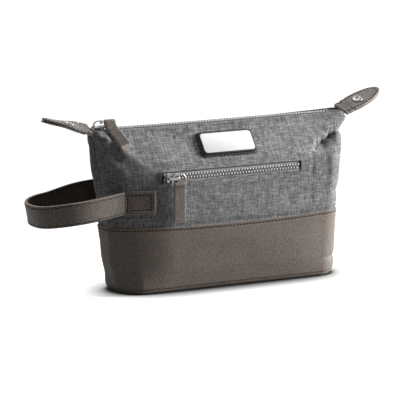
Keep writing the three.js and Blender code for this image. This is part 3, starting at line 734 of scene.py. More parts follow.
def pebbled(name, groove, body, crown, roughness, shine):
    """Grained leather: rounded pebbles with darker grooves, and a slow change of tone."""
    hide = Finish(name, roughness, shine=shine)
    place = hide.place()
    wander = hide.node("ShaderNodeTexNoise", Vector=place, Scale=1 / (WANDER_GRAINS * GRAIN_SIZE), Detail=1.0)
    shift = hide.vector("MULTIPLY", wander.outputs["Color"], [GRAIN_SIZE] * 3)
    cells = hide.node(
        "ShaderNodeTexVoronoi",
        {"feature": "SMOOTH_F1"},
        Vector=hide.vector("ADD", place, shift),
        Scale=1 / GRAIN_SIZE,
        Smoothness=GRAIN_SMOOTHNESS,
    )
    pebble = hide.spread(cells.outputs["Distance"], *PEBBLE_SHARES, 1.0, 0.0)
    pores = hide.noise(place, PORES_PER_GRAIN / GRAIN_SIZE)
    mottle = hide.noise(place, 1 / (MOTTLE_GRAINS * GRAIN_SIZE), 3.0)
    worn = hide.mix(hide.spread(mottle, *MOTTLE_SHARES), paint(body), paint(crown))
    hide.put("Base Color", hide.mix(hide.spread(pebble, *GROOVE_SHARES), paint(groove), worn))
    hide.put("Roughness", hide.spread(pebble, 0, 1, *[roughness + more for more in PEBBLE_ROUGHNESS]))
    height = hide.calculate("ADD", pebble, hide.calculate("MULTIPLY", pores, PORE_SHARE))
    hide.bump(height, GRAIN_DEPTH, GRAIN_BUMP)
    return hide.material


def speckled(name, dark, light, speck, roughness, depth, metallic, shine):
    """A fine uneven finish: cut edges, thread, card, printed plate and metal."""
    finish = Finish(name, roughness, metallic, shine=shine)
    place = finish.place()
    fine = finish.noise(place, 1 / speck, 3.0)
    slow = finish.noise(place, 1 / (SPECK_DRIFT * speck))
    both = finish.weighted(fine, slow, SPECK_SHARE)
    finish.put("Base Color", finish.mix(finish.spread(both, *SPECK_SHARES), paint(dark), paint(light)))
    ends = (roughness - SPECK_ROUGHNESS, roughness + SPECK_ROUGHNESS)
    finish.put("Roughness", finish.spread(slow, *DRIFT_SHARES, *ends))
    finish.bump(fine, depth, SPECK_BUMP)
    return finish.material


def ribbed(name, dark, light, pitch):
    """Fine ribbed tape or lining, on the piece's own UV map in metres."""
    finish = Finish(name, RIB_ROUGHNESS)
    counts = finish.counts(pitch)
    axes = finish.node("ShaderNodeSeparateXYZ", Vector=counts).outputs
    ribs = []
    for axis in ("X", "Y"):
        ribs.append(finish.calculate("SINE", finish.calculate("MULTIPLY", axes[axis], math.tau)))
    height = finish.calculate("ADD", *ribs)
    fleck = finish.spread(finish.noise(counts, RIB_FLECK), *FLECK_SHARES, 0, 1 / 2)
    tone = finish.calculate("ADD", finish.spread(height, -2, 2, 0, 1 / 2), fleck)
    finish.put("Base Color", finish.mix(tone, paint(dark), paint(light)))
    finish.bump(height, pitch / 8, WEAVE_BUMP)
    return finish.material


finishes = {"melange_cloth": melange(*MELANGE_CLOTH)}
for make_finish, rows in ((ribbed, RIBBED), (pebbled, PEBBLED), (speckled, SPECKLED)):
    finishes.update({row[0]: make_finish(*row) for row in rows})


# Meshes


def linked(name, data):
    made = bpy.data.objects.new(name, data)
    bpy.context.scene.collection.objects.link(made)
    return made


def new_piece(name, vertices, faces, *materials, uv=None, flat=()):
    """A mesh object; uv is one pair for each vertex, flat the faces that aren't shaded round."""
    mesh = bpy.data.meshes.new(name)
    mesh.from_pydata([tuple(vertex) for vertex in vertices], [], faces)
    round_faces = np.ones(len(faces), bool)
    round_faces[list(flat)] = False
    mesh.polygons.foreach_set("use_smooth", round_faces)
    if uv is not None:
        corners = np.zeros(len(mesh.loops), int)
        mesh.loops.foreach_get("vertex_index", corners)
        mesh.uv_layers.new(name="surface").data.foreach_set("uv", np.asarray(uv, float)[corners].ravel())
    for material in materials:
        mesh.materials.append(material)
    return linked(name, mesh)


def settle(piece, body, slot, *nodes):
    """The piece rides on one body and stands for these nodes."""
    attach(piece, body)
    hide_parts(*nodes)


def grid_normals(grid, turned):
    """Unit normals of a point grid, from its neighbours' places."""
    normals = np.cross(np.gradient(grid, axis=1), np.gradient(grid, axis=0))
    normals /= np.maximum(np.linalg.norm(normals, axis=2, keepdims=True), np.finfo(float).tiny)
    return -normals if turned else normals


def sheet_mesh(name, outer, inner, finish, surface, turned=False, keep=None):
    """A closed sheet between two point grids, with round faces and flat cut edges."""
    rows, columns, _ = outer.shape
    count = rows * columns
    kept = np.ones((rows - 1, columns - 1), bool) if keep is None else keep
    framed = np.pad(kept, 1)
    outside, inside, rim = [], [], []
    for row, column in np.argwhere(kept):
        corners = [row * columns + column, row * columns + column + 1]
        corners += [corners[1] + columns, corners[0] + columns]
        outside.append(tuple(corners))
        inside.append(tuple(corner + count for corner in reversed(corners)))
        for side, (down, right) in enumerate(((0, 1), (1, 2), (2, 1), (1, 0))):
            if not framed[row + down, column + right]:
                here, there = corners[side], corners[(side + 1) % 4]
                rim.append((there, here, here + count, there + count))
    normals = grid_normals(outer, turned).reshape(-1, 3)
    faces = outside + inside + rim
    if turned:
        faces = [tuple(reversed(face)) for face in faces]
    points = np.concatenate([outer.reshape(-1, 3), inner.reshape(-1, 3)])
    used, renamed = np.unique(np.ravel(faces), return_inverse=True)
    renamed = renamed.reshape(-1, 4).tolist()
    round_count = len(outside) + len(inside)
    uv = np.concatenate([surface.reshape(-1, 2)] * 2)[used]
    piece = new_piece(name, points[used], renamed, finish, uv=uv, flat=range(round_count, len(faces)))
    shaded = np.concatenate([normals, -normals])[used][np.ravel(renamed[:round_count])]
    plain = np.zeros((4 * len(rim), 3))
    piece.data.normals_split_custom_set(np.concatenate([shaded, plain]).tolist())
    return piece


def swept(name, rings, *materials, closed=False, edge_sides=(), inner_sides=(), surface=None):
    """A closed tube through rings of points, with flat caps; edge_sides take the second finish
    and inner_sides the third."""
    count, sides = len(rings), len(rings[0])
    faces, marks = [], []
    for ring in range(count if closed else count - 1):
        here, after = ring * sides, (ring + 1) % count * sides
        for side in range(sides):
            beside = (side + 1) % sides
            faces.append((here + side, here + beside, after + beside, after + side))
            marks.append(1 if side in edge_sides else 2 if side in inner_sides else 0)
    if not closed:
        faces += [tuple(reversed(range(sides))), tuple(range((count - 1) * sides, count * sides))]
        marks += [1 if edge_sides else 0] * 2
    caps = () if closed else (len(faces) - 2, len(faces) - 1)
    piece = new_piece(name, np.concatenate(rings), faces, *materials, flat=caps, uv=surface)
    piece.data.polygons.foreach_set("material_index", np.array(marks, np.int32))
    shape = bmesh.new()
    shape.from_mesh(piece.data)
    bmesh.ops.remove_doubles(shape, verts=shape.verts, dist=MERGE)
    bmesh.ops.recalc_face_normals(shape, faces=shape.faces)
    shape.to_mesh(piece.data)
    shape.free()
    piece.data.set_sharp_from_angle(angle=SHARP_ANGLE)
    return piece


def joined(name, *parts):
    """One object from several, kept as separate closed shells in one mesh."""
    shape = bmesh.new()
    for part in parts:
        shape.from_mesh(part.data)
    mesh = bpy.data.meshes.new(name)
    shape.to_mesh(mesh)
    shape.free()
    for finish in parts[0].data.materials:
        mesh.materials.append(finish)
    for part in parts:
        bpy.data.objects.remove(part)
    return linked(name, mesh)


# Geometry Nodes: one small shape again and again along a path


BAR_SIZES = ("Pitch", "Length", "Width", "Height")


def path_tree():
    """Rounded bars along the piece's edge path, each turned to the path and its outward side."""
    tree = bpy.data.node_groups.new("bars_along_path", "GeometryNodeTree")
    sockets = [("Geometry", "INPUT", "Geometry"), *[(label, "INPUT", "Float") for label in BAR_SIZES]]
    sockets += [("Finish", "INPUT", "Material"), ("Geometry", "OUTPUT", "Geometry")]
    for label, way, kind in sockets:
        tree.interface.new_socket(label, in_out=way, socket_type=f"NodeSocket{kind}")
    node = Nodes(tree).node
    inputs = node("NodeGroupInput").outputs
    line = node("GeometryNodeMeshToCurve", {}, inputs["Geometry"]).outputs[0]
    spaced = node("GeometryNodeResampleCurve", {"mode": "LENGTH"}, Curve=line, Length=inputs["Pitch"])
    size = node("ShaderNodeCombineXYZ", {}, inputs["Length"], inputs["Width"], inputs["Height"])
    bar = node("GeometryNodeMeshCube", Size=size.outputs[0]).outputs["Mesh"]
    rounded = node("GeometryNodeSubdivisionSurface", Mesh=bar, Level=1, Edge_Crease=BAR_CREASE)
    shaded = node("GeometryNodeSetShadeSmooth", Geometry=rounded.outputs[0])
    out = node("GeometryNodeInputNamedAttribute", {"data_type": "FLOAT_VECTOR"}, Name="outward")
    turn = "FunctionNodeAlignRotationToVector"
    upright = node(turn, {"axis": "Z"}, Vector=out.outputs[0]).outputs[0]
    tangent = node("GeometryNodeInputTangent").outputs[0]
    aligned = node(turn, {"axis": "X", "pivot_axis": "Z"}, Rotation=upright, Vector=tangent).outputs[0]
    points, shape = spaced.outputs[0], shaded.outputs[0]
    copies = node("GeometryNodeInstanceOnPoints", Points=points, Instance=shape, Rotation=aligned)
    real = node("GeometryNodeRealizeInstances", {}, copies.outputs[0]).outputs[0]
    finished = node("GeometryNodeSetMaterial", Geometry=real, Material=inputs["Finish"])
    node("NodeGroupOutput", {}, finished.outputs[0])
    return tree


bars_along_path = path_tree()


def bars(name, paths, outs, finish, *sizes):
    """Bars along paths of points; outs has one outward direction for a path or for each point."""
    mesh = bpy.data.meshes.new(name)
    edges, start = [], 0
    for path in paths:
        edges += [(at, at + 1) for at in range(start, start + len(path) - 1)]
        start += len(path)
    mesh.from_pydata(np.concatenate(paths).tolist(), edges, [])
    spread_outs = np.concatenate([np.broadcast_to(out, path.shape) for path, out in zip(paths, outs)])
    attribute = mesh.attributes.new("outward", "FLOAT_VECTOR", "POINT")
    attribute.data.foreach_set("vector", spread_outs.astype(np.float32).ravel())
    piece = linked(name, mesh)
    modifier = piece.modifiers.new("bars", "NODES")
    modifier.node_group = bars_along_path
    values = {"Finish": finishes[finish], **dict(zip(BAR_SIZES, sizes))}
    for item in bars_along_path.interface.items_tree:
        if item.in_out == "INPUT" and item.name in values:
            modifier[item.identifier] = values[item.name]
    graph = bpy.context.evaluated_depsgraph_get()
    piece.data = bpy.data.meshes.new_from_object(piece.evaluated_get(graph))
    piece.modifiers.clear()
    return piece


# by default stitches take the dark thread that is painted darker for the shade of its grooves
def stitches(name, paths, outs, finish="sewing_thread"):
    return bars(name, paths, outs, finish, *STITCH_SIZE)


# The cloth's surface


def section(height):
    """Half length, half depth and corner radius of the bag at a height, its bends eased."""
    levels = np.array(PROFILE).T
    around = height + np.linspace(-BEND_EASE, BEND_EASE, EASE_SAMPLES)
    return [np.interp(around, levels[0], column).mean() for column in levels[1:]]


def shoulder_depth(x, height):
    """How far the long sides turn in towards their ends."""
    past = beyond(x, SHOULDER_RUN)
    turned = np.where(past < 1, past * past, 2 * past - 1)
    lean = smooth_step(height, *SHOULDER_RISE) * (1 - smooth_step(height, BEND, PINCH))
    right = np.interp(height, BAND_SHOULDER_RISE, (BAND_SHOULDER, SHOULDER_DEPTHS[1]))
    return np.where(np.asarray(x) < 0, SHOULDER_DEPTHS[0], right) * turned * lean


def outline(stations, height, grow=0.0):
    """The front half of the bag's outline at a height, grown by an offset, at these stations:
    x along the straight front, and past it a run of END_SPAN round to the end's middle."""
    half_length, half_depth, corner = [size + grow for size in section(height)]
    straight = half_length - corner - FRONT_RUN
    bent = straight + corner * QUARTER
    past = np.clip(np.abs(stations) - FRONT_RUN, 0, None) / END_SPAN * (bent + half_depth - corner)
    angle = np.clip((past - straight) / corner, 0, QUARTER)
    reached = np.minimum(past, straight) + corner * np.sin(angle)
    x = np.where(np.abs(stations) < FRONT_RUN, stations, np.sign(stations) * (FRONT_RUN + reached))
    y = -half_depth + corner * (1 - np.cos(angle)) + np.clip(past - bent, 0, None)
    y -= PLAN_BELLY * look_up(BELLY_SHARES, height) * dome(x, FRONT_RUN)
    y += shoulder_depth(x, height) * np.clip(-y / half_depth, 0, 1)
    apart = np.hypot(x - FOOT_PLACE[0], y - FOOT_PLACE[1])
    y -= FOOT_BULGE * bell(apart, FOOT_REACH) * (1 - smooth_step(height, 0, FOOT_HEIGHT))
    shift = np.where(x < 0, -look_up(LEFT_SHIFTS, height), look_up(RIGHT_SHIFTS, height))
    x = x + shift * beyond(x, SHIFT_RUN) ** SHIFT_POWER
    return np.stack([x, y, np.full_like(x, height)], axis=1)


def whole_outline(stations, height, grow):
    """The outline all round, the back mirrored from the front."""
    front = outline(stations, height, grow)
    return np.concatenate([front, front[::-1][1:-1] * [1, -1, 1]])


def cut_run(marks):
    """Places from the first mark to the last, a cloth step apart, with one on every mark."""
    places = []
    for low, high in zip(marks[:-1], marks[1:]):
        places += list(np.linspace(low, high, max(1, round((high - low) / CLOTH_STEP)), endpoint=False))
    return [*places, marks[-1]]


def end_stations():
    """Stations round an end, closer together towards its middle."""
    steps = round(END_SPAN / CLOTH_STEP)
    shares = (np.sin(np.linspace(0, QUARTER, steps + 1)) + np.linspace(0, 1, steps + 1)) / 2
    return FRONT_RUN + END_SPAN * shares[1:]


FRONT_STATIONS = cut_run([-FRONT_RUN, POCKET_LEFT, -FLAP_RUN, FLAP_RUN, POCKET_RIGHT, FRONT_RUN])
STATIONS = np.array([*-end_stations()[::-1], *FRONT_STATIONS, *end_stations()])
HEIGHTS = cut_run([CLOTH_FOOT, BAND_TOP, POCKET_LOW, POCKET_HIGH, BEND, PINCH, RIDGE])


def distance_to(points, start, end):
    """How far points are from the straight run between two ends."""
    start, run = np.array(start), np.array(end) - np.array(start)
    share = np.clip(((points - start) @ run) / (run @ run), 0, 1)
    return np.linalg.norm(points - start - share[..., None] * run, axis=-1)


def ripple(points, size, seed):
    flat = points.reshape(-1, 3) / size + seed
    return np.array([noise.noise(Vector(point)) for point in flat]).reshape(points.shape[:2])


def swelling(points, side):
    """How far the cloth stands off the plain form: belly, folds, seams and ripples."""
    x, y, z = np.moveaxis(points, 2, 0)
    belly = dome(x, BELLY_REACH) ** 2
    low = np.sin(math.pi * np.clip((z - BAND_TOP) / (BEND - BAND_TOP), 0, 1))
    high = np.sin(math.pi * np.clip((z - BEND) / (RIDGE - BEND), 0, 1))
    away = WALL_BELLY * belly * low - SLOPE_SAG * belly * high
    away -= BAND_PINCH * bell(z - BAND_TOP, BAND_PINCH_REACH)
    away -= SEAM_GROOVE * bell(y, SEAM_REACH) * (np.abs(x) > FRONT_RUN)
    for start, end, depth, reach in FOLDS:
        away -= depth * bell(distance_to(points, start, end), reach)
    loose = 1 - HEM_CALM_SHARE * bell(z - RIDGE, HEM_CALM_REACH)
    away += loose * RIPPLE * ripple(points, RIPPLE_SIZE, side)
    return away + FINE_RIPPLE * ripple(points, FINE_RIPPLE_SIZE, FINE_SEED * side)


def ridge_drop(x):
    """How far the mouth's edge sags."""
    return RIDGE_SAG * dome(np.asarray(x) - SAG_PLACE, SAG_REACH)


def skin(side):
    """The cloth's outer surface on one side, from the left end's middle to the right end's."""
    rows = [outline(STATIONS, height) for height in HEIGHTS]
    rows += [outline(STATIONS, RIDGE, -inward) + [0, 0, up] for inward, up in HEM_ROLL]
    grid = np.array(rows)
    normals = grid_normals(grid, False)
    x, y, z = np.moveaxis(grid, 2, 0).copy()
    rise = np.clip((z - FLARE_RISE[0]) / (FLARE_RISE[1] - FLARE_RISE[0]), 0, 1)
    flare = smooth_step(np.abs(x), *FLARE_RUN) * rise
    grid[..., 1] = y * (1 + flare * FLARE / PINCH_HALF_DEPTH) * -side
    normals[..., 1] *= -side
    near = smooth_step(z, RISE_START, RIDGE)
    grid[..., 2] -= ridge_drop(x) * near
    if side > 0:
        grid[..., 2] += np.where(x < 0, *BACK_RISE) * (x / RIDGE_HALF_LENGTH) ** 2 * near
    return grid + normals * swelling(grid, side)[..., None]


SKINS = {side: skin(side) for name, side in SIDES}
# Each point's place on the flat cloth, with the hem's rows half a step apart
HEM_RUN = [RIDGE + (row + 1) * CLOTH_STEP / 2 for row in range(len(HEM_ROLL))]
SURFACE = np.stack(np.meshgrid(STATIONS, [*HEIGHTS, *HEM_RUN]), axis=2)
BEND_ROW = int(np.argmin(np.abs(np.array(HEIGHTS) - BEND)))


def cloth_patch(name, side, rows, low, high, depths, finish, keep=None):
    """A sheet of the skin between two depths, over these rows and stations."""
    grid = SKINS[side]
    columns = (STATIONS >= low - STATION_SLACK) & (STATIONS <= high + STATION_SLACK)
    thin = np.ones(len(grid))
    thin[len(HEIGHTS) :] = HEM_THICKNESS / CLOTH_THICKNESS
    inward = grid_normals(grid, side > 0) * thin[:, None, None]
    outer, inner = [(grid - inward * depth)[rows][:, columns] for depth in depths]
    surface = SURFACE[rows][:, columns] + [0, BACK_WEAVE if side > 0 else 0]
    return sheet_mesh(name, outer, inner, finishes[finish], surface, turned=side > 0, keep=keep)


def along_flap(name, side, low, high, *layers):
    """Runs of cloth or zip in three lengths: two at the ends, left in place, and one on the flap. A layer has
    what makes it, its slot and the kind of node that it stands for."""
    flap = f"{name}_flap"
    lengths = (("left", -1, low, -FLAP_RUN), ("middle", 0, -FLAP_RUN, FLAP_RUN), ("right", 1, FLAP_RUN, high))
    for place, end, start, stop in lengths:
        for make, slot, kind in layers:
            piece = make(f"{name}_{place}", side, start, stop)
            if end:
                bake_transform(piece)
                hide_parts(f"{place}_end_{kind}", f"{flap}_{kind}")
            else:
                settle(piece, flap, slot, f"{flap}_{kind}")


def upper_cloth(name, side, start, stop):
    rows = slice(BEND_ROW, None)
    return cloth_patch(f"{name}_cloth", side, rows, start, stop, CLOTH_DEPTHS, "melange_cloth")


def upper_lining(name, side, start, stop):
    rows = slice(BEND_ROW, len(HEIGHTS))
    return cloth_patch(f"{name}_lining", side, rows, start, stop, LINING_DEPTHS, "lining_weave")


def ridge_shade_binding(name, side, start, stop):
    """A binding over a hem, painted dark for the shade along the hem behind the teeth."""
    rows = slice(len(HEIGHTS) - BINDING_ROWS, None)
    return cloth_patch(f"{name}_binding", side, rows, start, stop, (-BINDING_THICKNESS, 0), "back_zip_tape")


def build_cloth():
    """The walls with the pocket's window, and the upper cloth and lining."""
    stations = (STATIONS[:-1] + STATIONS[1:]) / 2
    middles = (np.array(HEIGHTS[:BEND_ROW]) + np.array(HEIGHTS[1 : BEND_ROW + 1])) / 2
    across = (stations > POCKET_LEFT) & (stations < POCKET_RIGHT)
    upright = (middles > POCKET_LOW) & (middles < POCKET_HIGH)
    window = ~np.outer(upright, across)
    for name, side in SIDES:
        rows, keep = slice(0, BEND_ROW + 1), window if side < 0 else None
        wall = cloth_patch(f"{name}_wall_cloth", side, rows, -END, END, CLOTH_DEPTHS, "melange_cloth", keep)
        settle(wall, "bag", "fabric", f"{name}_wall")
    for name, side in SIDES:
        layers = ((upper_cloth, "fabric", "fabric"), (upper_lining, "lining", "lining"))
        along_flap(name, side, -END, END, *layers)


# Leather band and base


def base_lift(points):
    """How far the base's long edges rise off the table."""
    x, y, z = np.moveaxis(points, -1, 0)
    edge = smooth_step(np.abs(y), LIFT_START, HALF_DEPTH)
    return BASE_LIFT * dome(x, LIFT_REACH) * edge * (1 - smooth_step(z, 0, LIFT_HEIGHT))


def band_smile(points):
    """How far the band's upper part follows the curve of its top edge."""
    x, y, z = np.moveaxis(points, -1, 0)
    share = np.clip(np.abs(x) / FRONT_RUN, 0, 1) ** 2
    dip = -BAND_SMILE[0] * (1 - share) - BAND_SMILE[1] * share
    return dip * smooth_step(z, BAND_TOP / 2, BAND_TOP)


def foot_stations(front_count):
    """Stations of the band or the base, with so many along the straight front."""
    left = np.linspace(-END, -FRONT_RUN, ROUND_STATIONS, endpoint=False)
    front = np.linspace(-FRONT_RUN, FRONT_RUN, front_count, endpoint=False)
    return np.concatenate([left, front, np.linspace(FRONT_RUN, END, ROUND_STATIONS + 1)])


def band_profile():
    """Offset and height of the band's outer face, over its top edge and down its inner face."""
    heights = np.arange(BAND_FOOT + BAND_EDGE, BAND_TOP - BAND_EDGE, BAND_STEP)
    grooves = BAND_STITCH_GROOVE * bell(heights - (BAND_TOP - BAND_STITCH_DROP), BAND_STITCH_REACH)
    half, inner = BAND_THICKNESS / 2, BAND_PROUD - BAND_THICKNESS
    face = [(BAND_PROUD - BAND_EDGE, BAND_FOOT), (BAND_PROUD - BAND_EDGE / 3, BAND_FOOT + BAND_EDGE / 3)]
    face += [*zip(BAND_PROUD - grooves, heights)]
    face += [*arc((BAND_PROUD - half, BAND_TOP - half), half, 0, math.pi, FILLET_STEPS)]
    return [*face, *[(inner, height) for height in heights[::-BAND_INNER_STEPS]], (inner, BAND_FOOT)]


def band_half(name, side):
    """Half of the band as a closed strip round the front or the back."""
    profile = band_profile()
    stations = foot_stations(BAND_STATIONS)
    grid = np.array([outline(stations, height, offset) * [1, -side, 1] for offset, height in profile])
    loose = np.sin(math.pi * grid[..., 2] / BAND_TOP)
    wave = BAND_WAVE * loose * ripple(grid, BAND_WAVE_SIZE, BAND_SEED * side)
    # the lower outer face gives the way out in plan
    normals = np.zeros_like(grid)
    normals[..., :2] = grid_normals(grid[: len(profile) // 3], side > 0).mean(axis=0)[None, :, :2]
    x, y, z = np.moveaxis(grid, 2, 0)
    apart = np.hypot(x - BAND_NOTCH[0], y - BAND_NOTCH[1])
    notch = bell(z - BAND_NOTCH[2], BAND_NOTCH_REACH[1]) * bell(apart, BAND_NOTCH_REACH[0])
    grid += normals * (wave - BAND_NOTCH_DEPTH * notch)[..., None]
    grid[..., 2] += base_lift(grid) + band_smile(grid)
    return swept(name, np.moveaxis(grid, 1, 0), finishes["band_leather"])


def build_band():
    """The band's two halves, each with its row of stitches."""
    for name, side in SIDES:
        settle(band_half(f"{name}_band_leather", side), "bag", "leather", f"band_{name}")
        off = BAND_PROUD - BAND_STITCH_GROOVE + STITCH_SIZE[3] / 4
        path = outline(np.linspace(-END, END, BAND_SEAM_STATIONS), BAND_TOP - BAND_STITCH_DROP, off)
        out = np.stack([np.gradient(path[:, 1]), -np.gradient(path[:, 0]), np.zeros(len(path))], axis=1)
        path[:, 1] *= -side
        path[:, 2] += band_smile(path)
        seam = stitches(f"{name}_band_stitches", [path], [out * [1, -side, 1]])
        settle(seam, "bag", "leather")


def base_piece(name, profile, finish, slot, node):
    """A closed piece round the foot from (offset, height) pairs."""
    rings = []
    for offset, height in profile:
        ring = whole_outline(foot_stations(BASE_STATIONS), height, offset)
        ring[:, 2] += base_lift(ring)
        rings.append(ring)
    settle(swept(name, rings, finishes[finish]), "bag", slot, node)


def build_base():
    """The leather underside with its rolled edge and the rim that the band is sewn to, and the
    card over it."""
    roll = arc((BAND_PROUD / 2 - BASE_ROUND, BASE_ROUND), BASE_ROUND, -QUARTER, QUARTER, FILLET_STEPS)
    profile = [(-BASE_INNER, 0), (-BASE_INNER / 2, 0), *roll, (0, BASE_RIM)]
    profile += [(-BAND_EDGE, BASE_RIM + BAND_EDGE / 2), (-BASE_FLOOR, BASE_RIM)]
    profile += [(-BASE_FLOOR, BASE_FLOOR), (-BASE_INNER, BASE_FLOOR)]
    base_piece("base_leather", profile, "band_leather", "leather", "base_panel")
    low = BASE_FLOOR + LINING_GAP / 2
    high = low + BOARD_THICKNESS
    card = [(-BASE_INNER, low), (-BOARD_INSET, low), (-BOARD_INSET, high), (-BASE_INNER, high)]
    base_piece("base_card", card, "base_card", "board", "base_board")


# Zips


def tooth_places(low, high):
    """The ends of the whole number of pitches nearest inside two ends."""
    return math.ceil(low / TOOTH_PITCH) * TOOTH_PITCH, math.floor(high / TOOTH_PITCH) * TOOTH_PITCH


def ridge_teeth(name, side, start, stop):
    """A row of the mouth's teeth, the back one half a pitch along and lower. The front row is painted light
    and the back row painted dark: lit and shaded copies of one metal.
    """
    back = side > 0
    shift = TOOTH_PITCH / 2 if back else 0
    inner = TOOTH_INNER if back else RIDGE_TOOTH_INNER
    first, last = start + TOOTH_PITCH / 2 - shift, stop - TOOTH_PITCH / 2 - shift
    xs = np.linspace(first, last, round((last - first) / TOOTH_PITCH) + 1)
    height = CHAIN_HEIGHT - (BACK_ROW_DROP if back else 0)
    path = np.array([(x, side * (inner + TOOTH_OUTER) / 2, height - ridge_drop(x)) for x in xs])
    sizes = (TOOTH_PITCH, RIDGE_TOOTH_WIDTH, TOOTH_OUTER - inner, RIDGE_TOOTH_HEIGHT)
    return bars(f"{name}_zip_teeth", [path], [UP], "dark_zip_teeth" if back else "bright_zip_teeth", *sizes)


def strip(name, start, stop, section_points, place, finish):
    """A straight closed strip along x with this cross-section of (across, out) pairs."""
    xs = np.linspace(start, stop, max(2, round((stop - start) / STRIP_STEP)))
    rings = [placed(place, [(x, across, out) for across, out in section_points]) for x in xs]
    surface = np.array([(x, across) for x in xs for across, out in section_points])
    return swept(name, rings, finishes[finish], surface=surface)


def tape_section(side, inner, outer, sink):
    """A tape's cross-section on one side of the chain, its outer edge sunk below its inner one."""
    steps = np.linspace(0, 1, FILLET_STEPS + 1)
    top = [(side * (inner + (outer - inner) * s), TAPE_THICKNESS / 2 - sink * s * s) for s in steps]
    return top + [(across, out - TAPE_THICKNESS) for across, out in reversed(top)]


def ridge_tape(name, side, start, stop):
    """A tape of the mouth's zip, sagging with the ridge."""
    edges = tape_section(side, TAPE_INNER, RIDGE_TAPE_EDGE, 0)
    place = Matrix.Translation((0, 0, CHAIN_HEIGHT))
    # the back tape is painted darker than the front one, for shade
    finish = "ridge_tape" if side < 0 else "back_zip_tape"
    tape = strip(f"{name}_zip_tape", start, stop, edges, place, finish)
    for vertex in tape.data.vertices:
        vertex.co.z -= ridge_drop(vertex.co.x)
    return tape


def build_main_zip():
    """The teeth and tapes along the mouth, the back hem's binding painted dark for shade, and the stop at
    each end.
    """
    past = PLATE_LENGTH / 2 + STOP_GAP + STOP_WIDTH / 2
    left, right = MAIN_SLIDER_REST - past, MAIN_SLIDER_REST + MAIN_TRAVEL + past
    low, high = tooth_places(left + STOP_WIDTH, right - STOP_WIDTH / 2)
    tape_end = RIDGE_HALF_LENGTH - CLOTH_THICKNESS
    for name, side in SIDES:
        along_flap(name, side, low, high, (ridge_teeth, "hardware", "teeth"))
        along_flap(name, side, -tape_end, tape_end, (ridge_tape, "tape", "tape"))
    along_flap("back", 1, -END, END, (ridge_shade_binding, "tape", "fabric"))
    bar, _ = soft_bar(CHAIN_HALF_WIDTH, CHAIN_HALF_HEIGHT + PLATE_GAP, METAL_EDGE)
    place = Matrix.Translation((0, 0, CHAIN_HEIGHT))
    for name, x in (("left", left), ("right", right)):
        ends = (x - STOP_WIDTH / 2, x + STOP_WIDTH / 2)
        rings = [placed(place, [(end, across, out) for across, out in bar]) for end in ends]
        stop = swept(f"{name}_end_stop", rings, finishes["nickel"])
        settle(stop, "bag", "hardware", f"{name}_end_teeth")


def plate(name, points, low, high, edge, place, finish, crown=0.0):
    """A flat plate between two heights with rounded rims, its top face crowned if asked."""
    normals = plan_normals(points)
    levels = [*arc((edge, low + edge), edge, -QUARTER, -QUARTER, RIM_STEPS)]
    levels += [*arc((edge, high - edge), edge, math.pi, -QUARTER, RIM_STEPS)]
    flats = [(points - normals * inset, height) for inset, height in levels]
    if crown:
        for share in PLATE_CROWN_SHARES:
            flats.append(((points - normals * edge) * share, high + crown * (1 - share * share)))
    rings = [placed(place, [(x, y, height) for x, y in flat]) for flat, height in flats]
    return swept(name, rings, finishes[finish])


def slider(name, place):
    """A zip slider: two plates, the post between them and the closed bow on top."""
    inner = CHAIN_HALF_HEIGHT + PLATE_GAP
    top = inner + TOP_PLATE
    face = rounded_outline(PLATE_LENGTH, PLATE_WIDTH, PLATE_CORNER)
    face[:, 1] *= 1 - PLATE_WAIST_SHARE * smooth_step(face[:, 0], 0, PLATE_LENGTH / 2)
    foot = rounded_outline(PLATE_CORNER, POST_WIDTH, POST_WIDTH / 2) - [(PLATE_LENGTH - PLATE_CORNER) / 2, 0]
    upper = plate(f"{name}_upper", face, inner, top, TOP_PLATE / 2, place, "nickel", METAL_EDGE)
    lower = plate(f"{name}_lower", face, -inner - BOTTOM_PLATE, -inner, BOTTOM_PLATE / 3, place, "nickel")
    reach = inner + METAL_EDGE
    post = plate(f"{name}_post", foot, -reach, reach, POST_WIDTH / 8, place, "nickel")
    sizes = (BOW_LENGTH / 2, top + BOW_HEIGHT, BOW_CORNER)
    half, rise, corner = (size - BOW_THICKNESS / 2 for size in sizes)
    bend = arc((half - corner, rise - corner), corner, 0, QUARTER, BOW_STEPS)
    line = [(x, 0, z) for x, z in ((half, top - METAL_EDGE), *bend)]
    line += [(-x, 0, z) for x, _, z in reversed(line)]
    bar, _ = soft_bar(BOW_WIDTH / 2, BOW_THICKNESS / 2, BOW_THICKNESS / 3)
    rings = []
    for point, run in zip(line, runs(line)):
        out = Vector((run.z, 0, -run.x))
        rings.append(placed(place, [Vector(point) + AWAY * across + out * off for across, off in bar]))
    return joined(name, upper, lower, post, swept(f"{name}_bow", rings, finishes["nickel"]))


def ring_wire(name, place):
    """Wire bent to a closed D: a straight bar and a round bow."""
    half, foot = RING_HALF_WIDTH, RING_FILLET - BAR_REACH
    line = [*arc((0, RING_HEIGHT - BAR_REACH - half), half, 0, math.pi, RING_STEPS)]
    for middle, start in ((RING_FILLET - half, math.pi), (half - RING_FILLET, 3 * QUARTER)):
        line += [*arc((middle, foot), RING_FILLET, start, QUARTER, FILLET_STEPS)]
    rings = []
    for before, here, after in zip([line[-1], *line], line, [*line[1:], line[0]]):
        run = Vector((*(after - before), 0)).normalized()
        side = Vector((run.y, -run.x, 0))
        rings.append(placed(place, circle(Vector((*here, 0)), side, UP, WIRE_RADIUS, WIRE_STEPS)))
    return swept(name, rings, finishes["nickel"], closed=True)


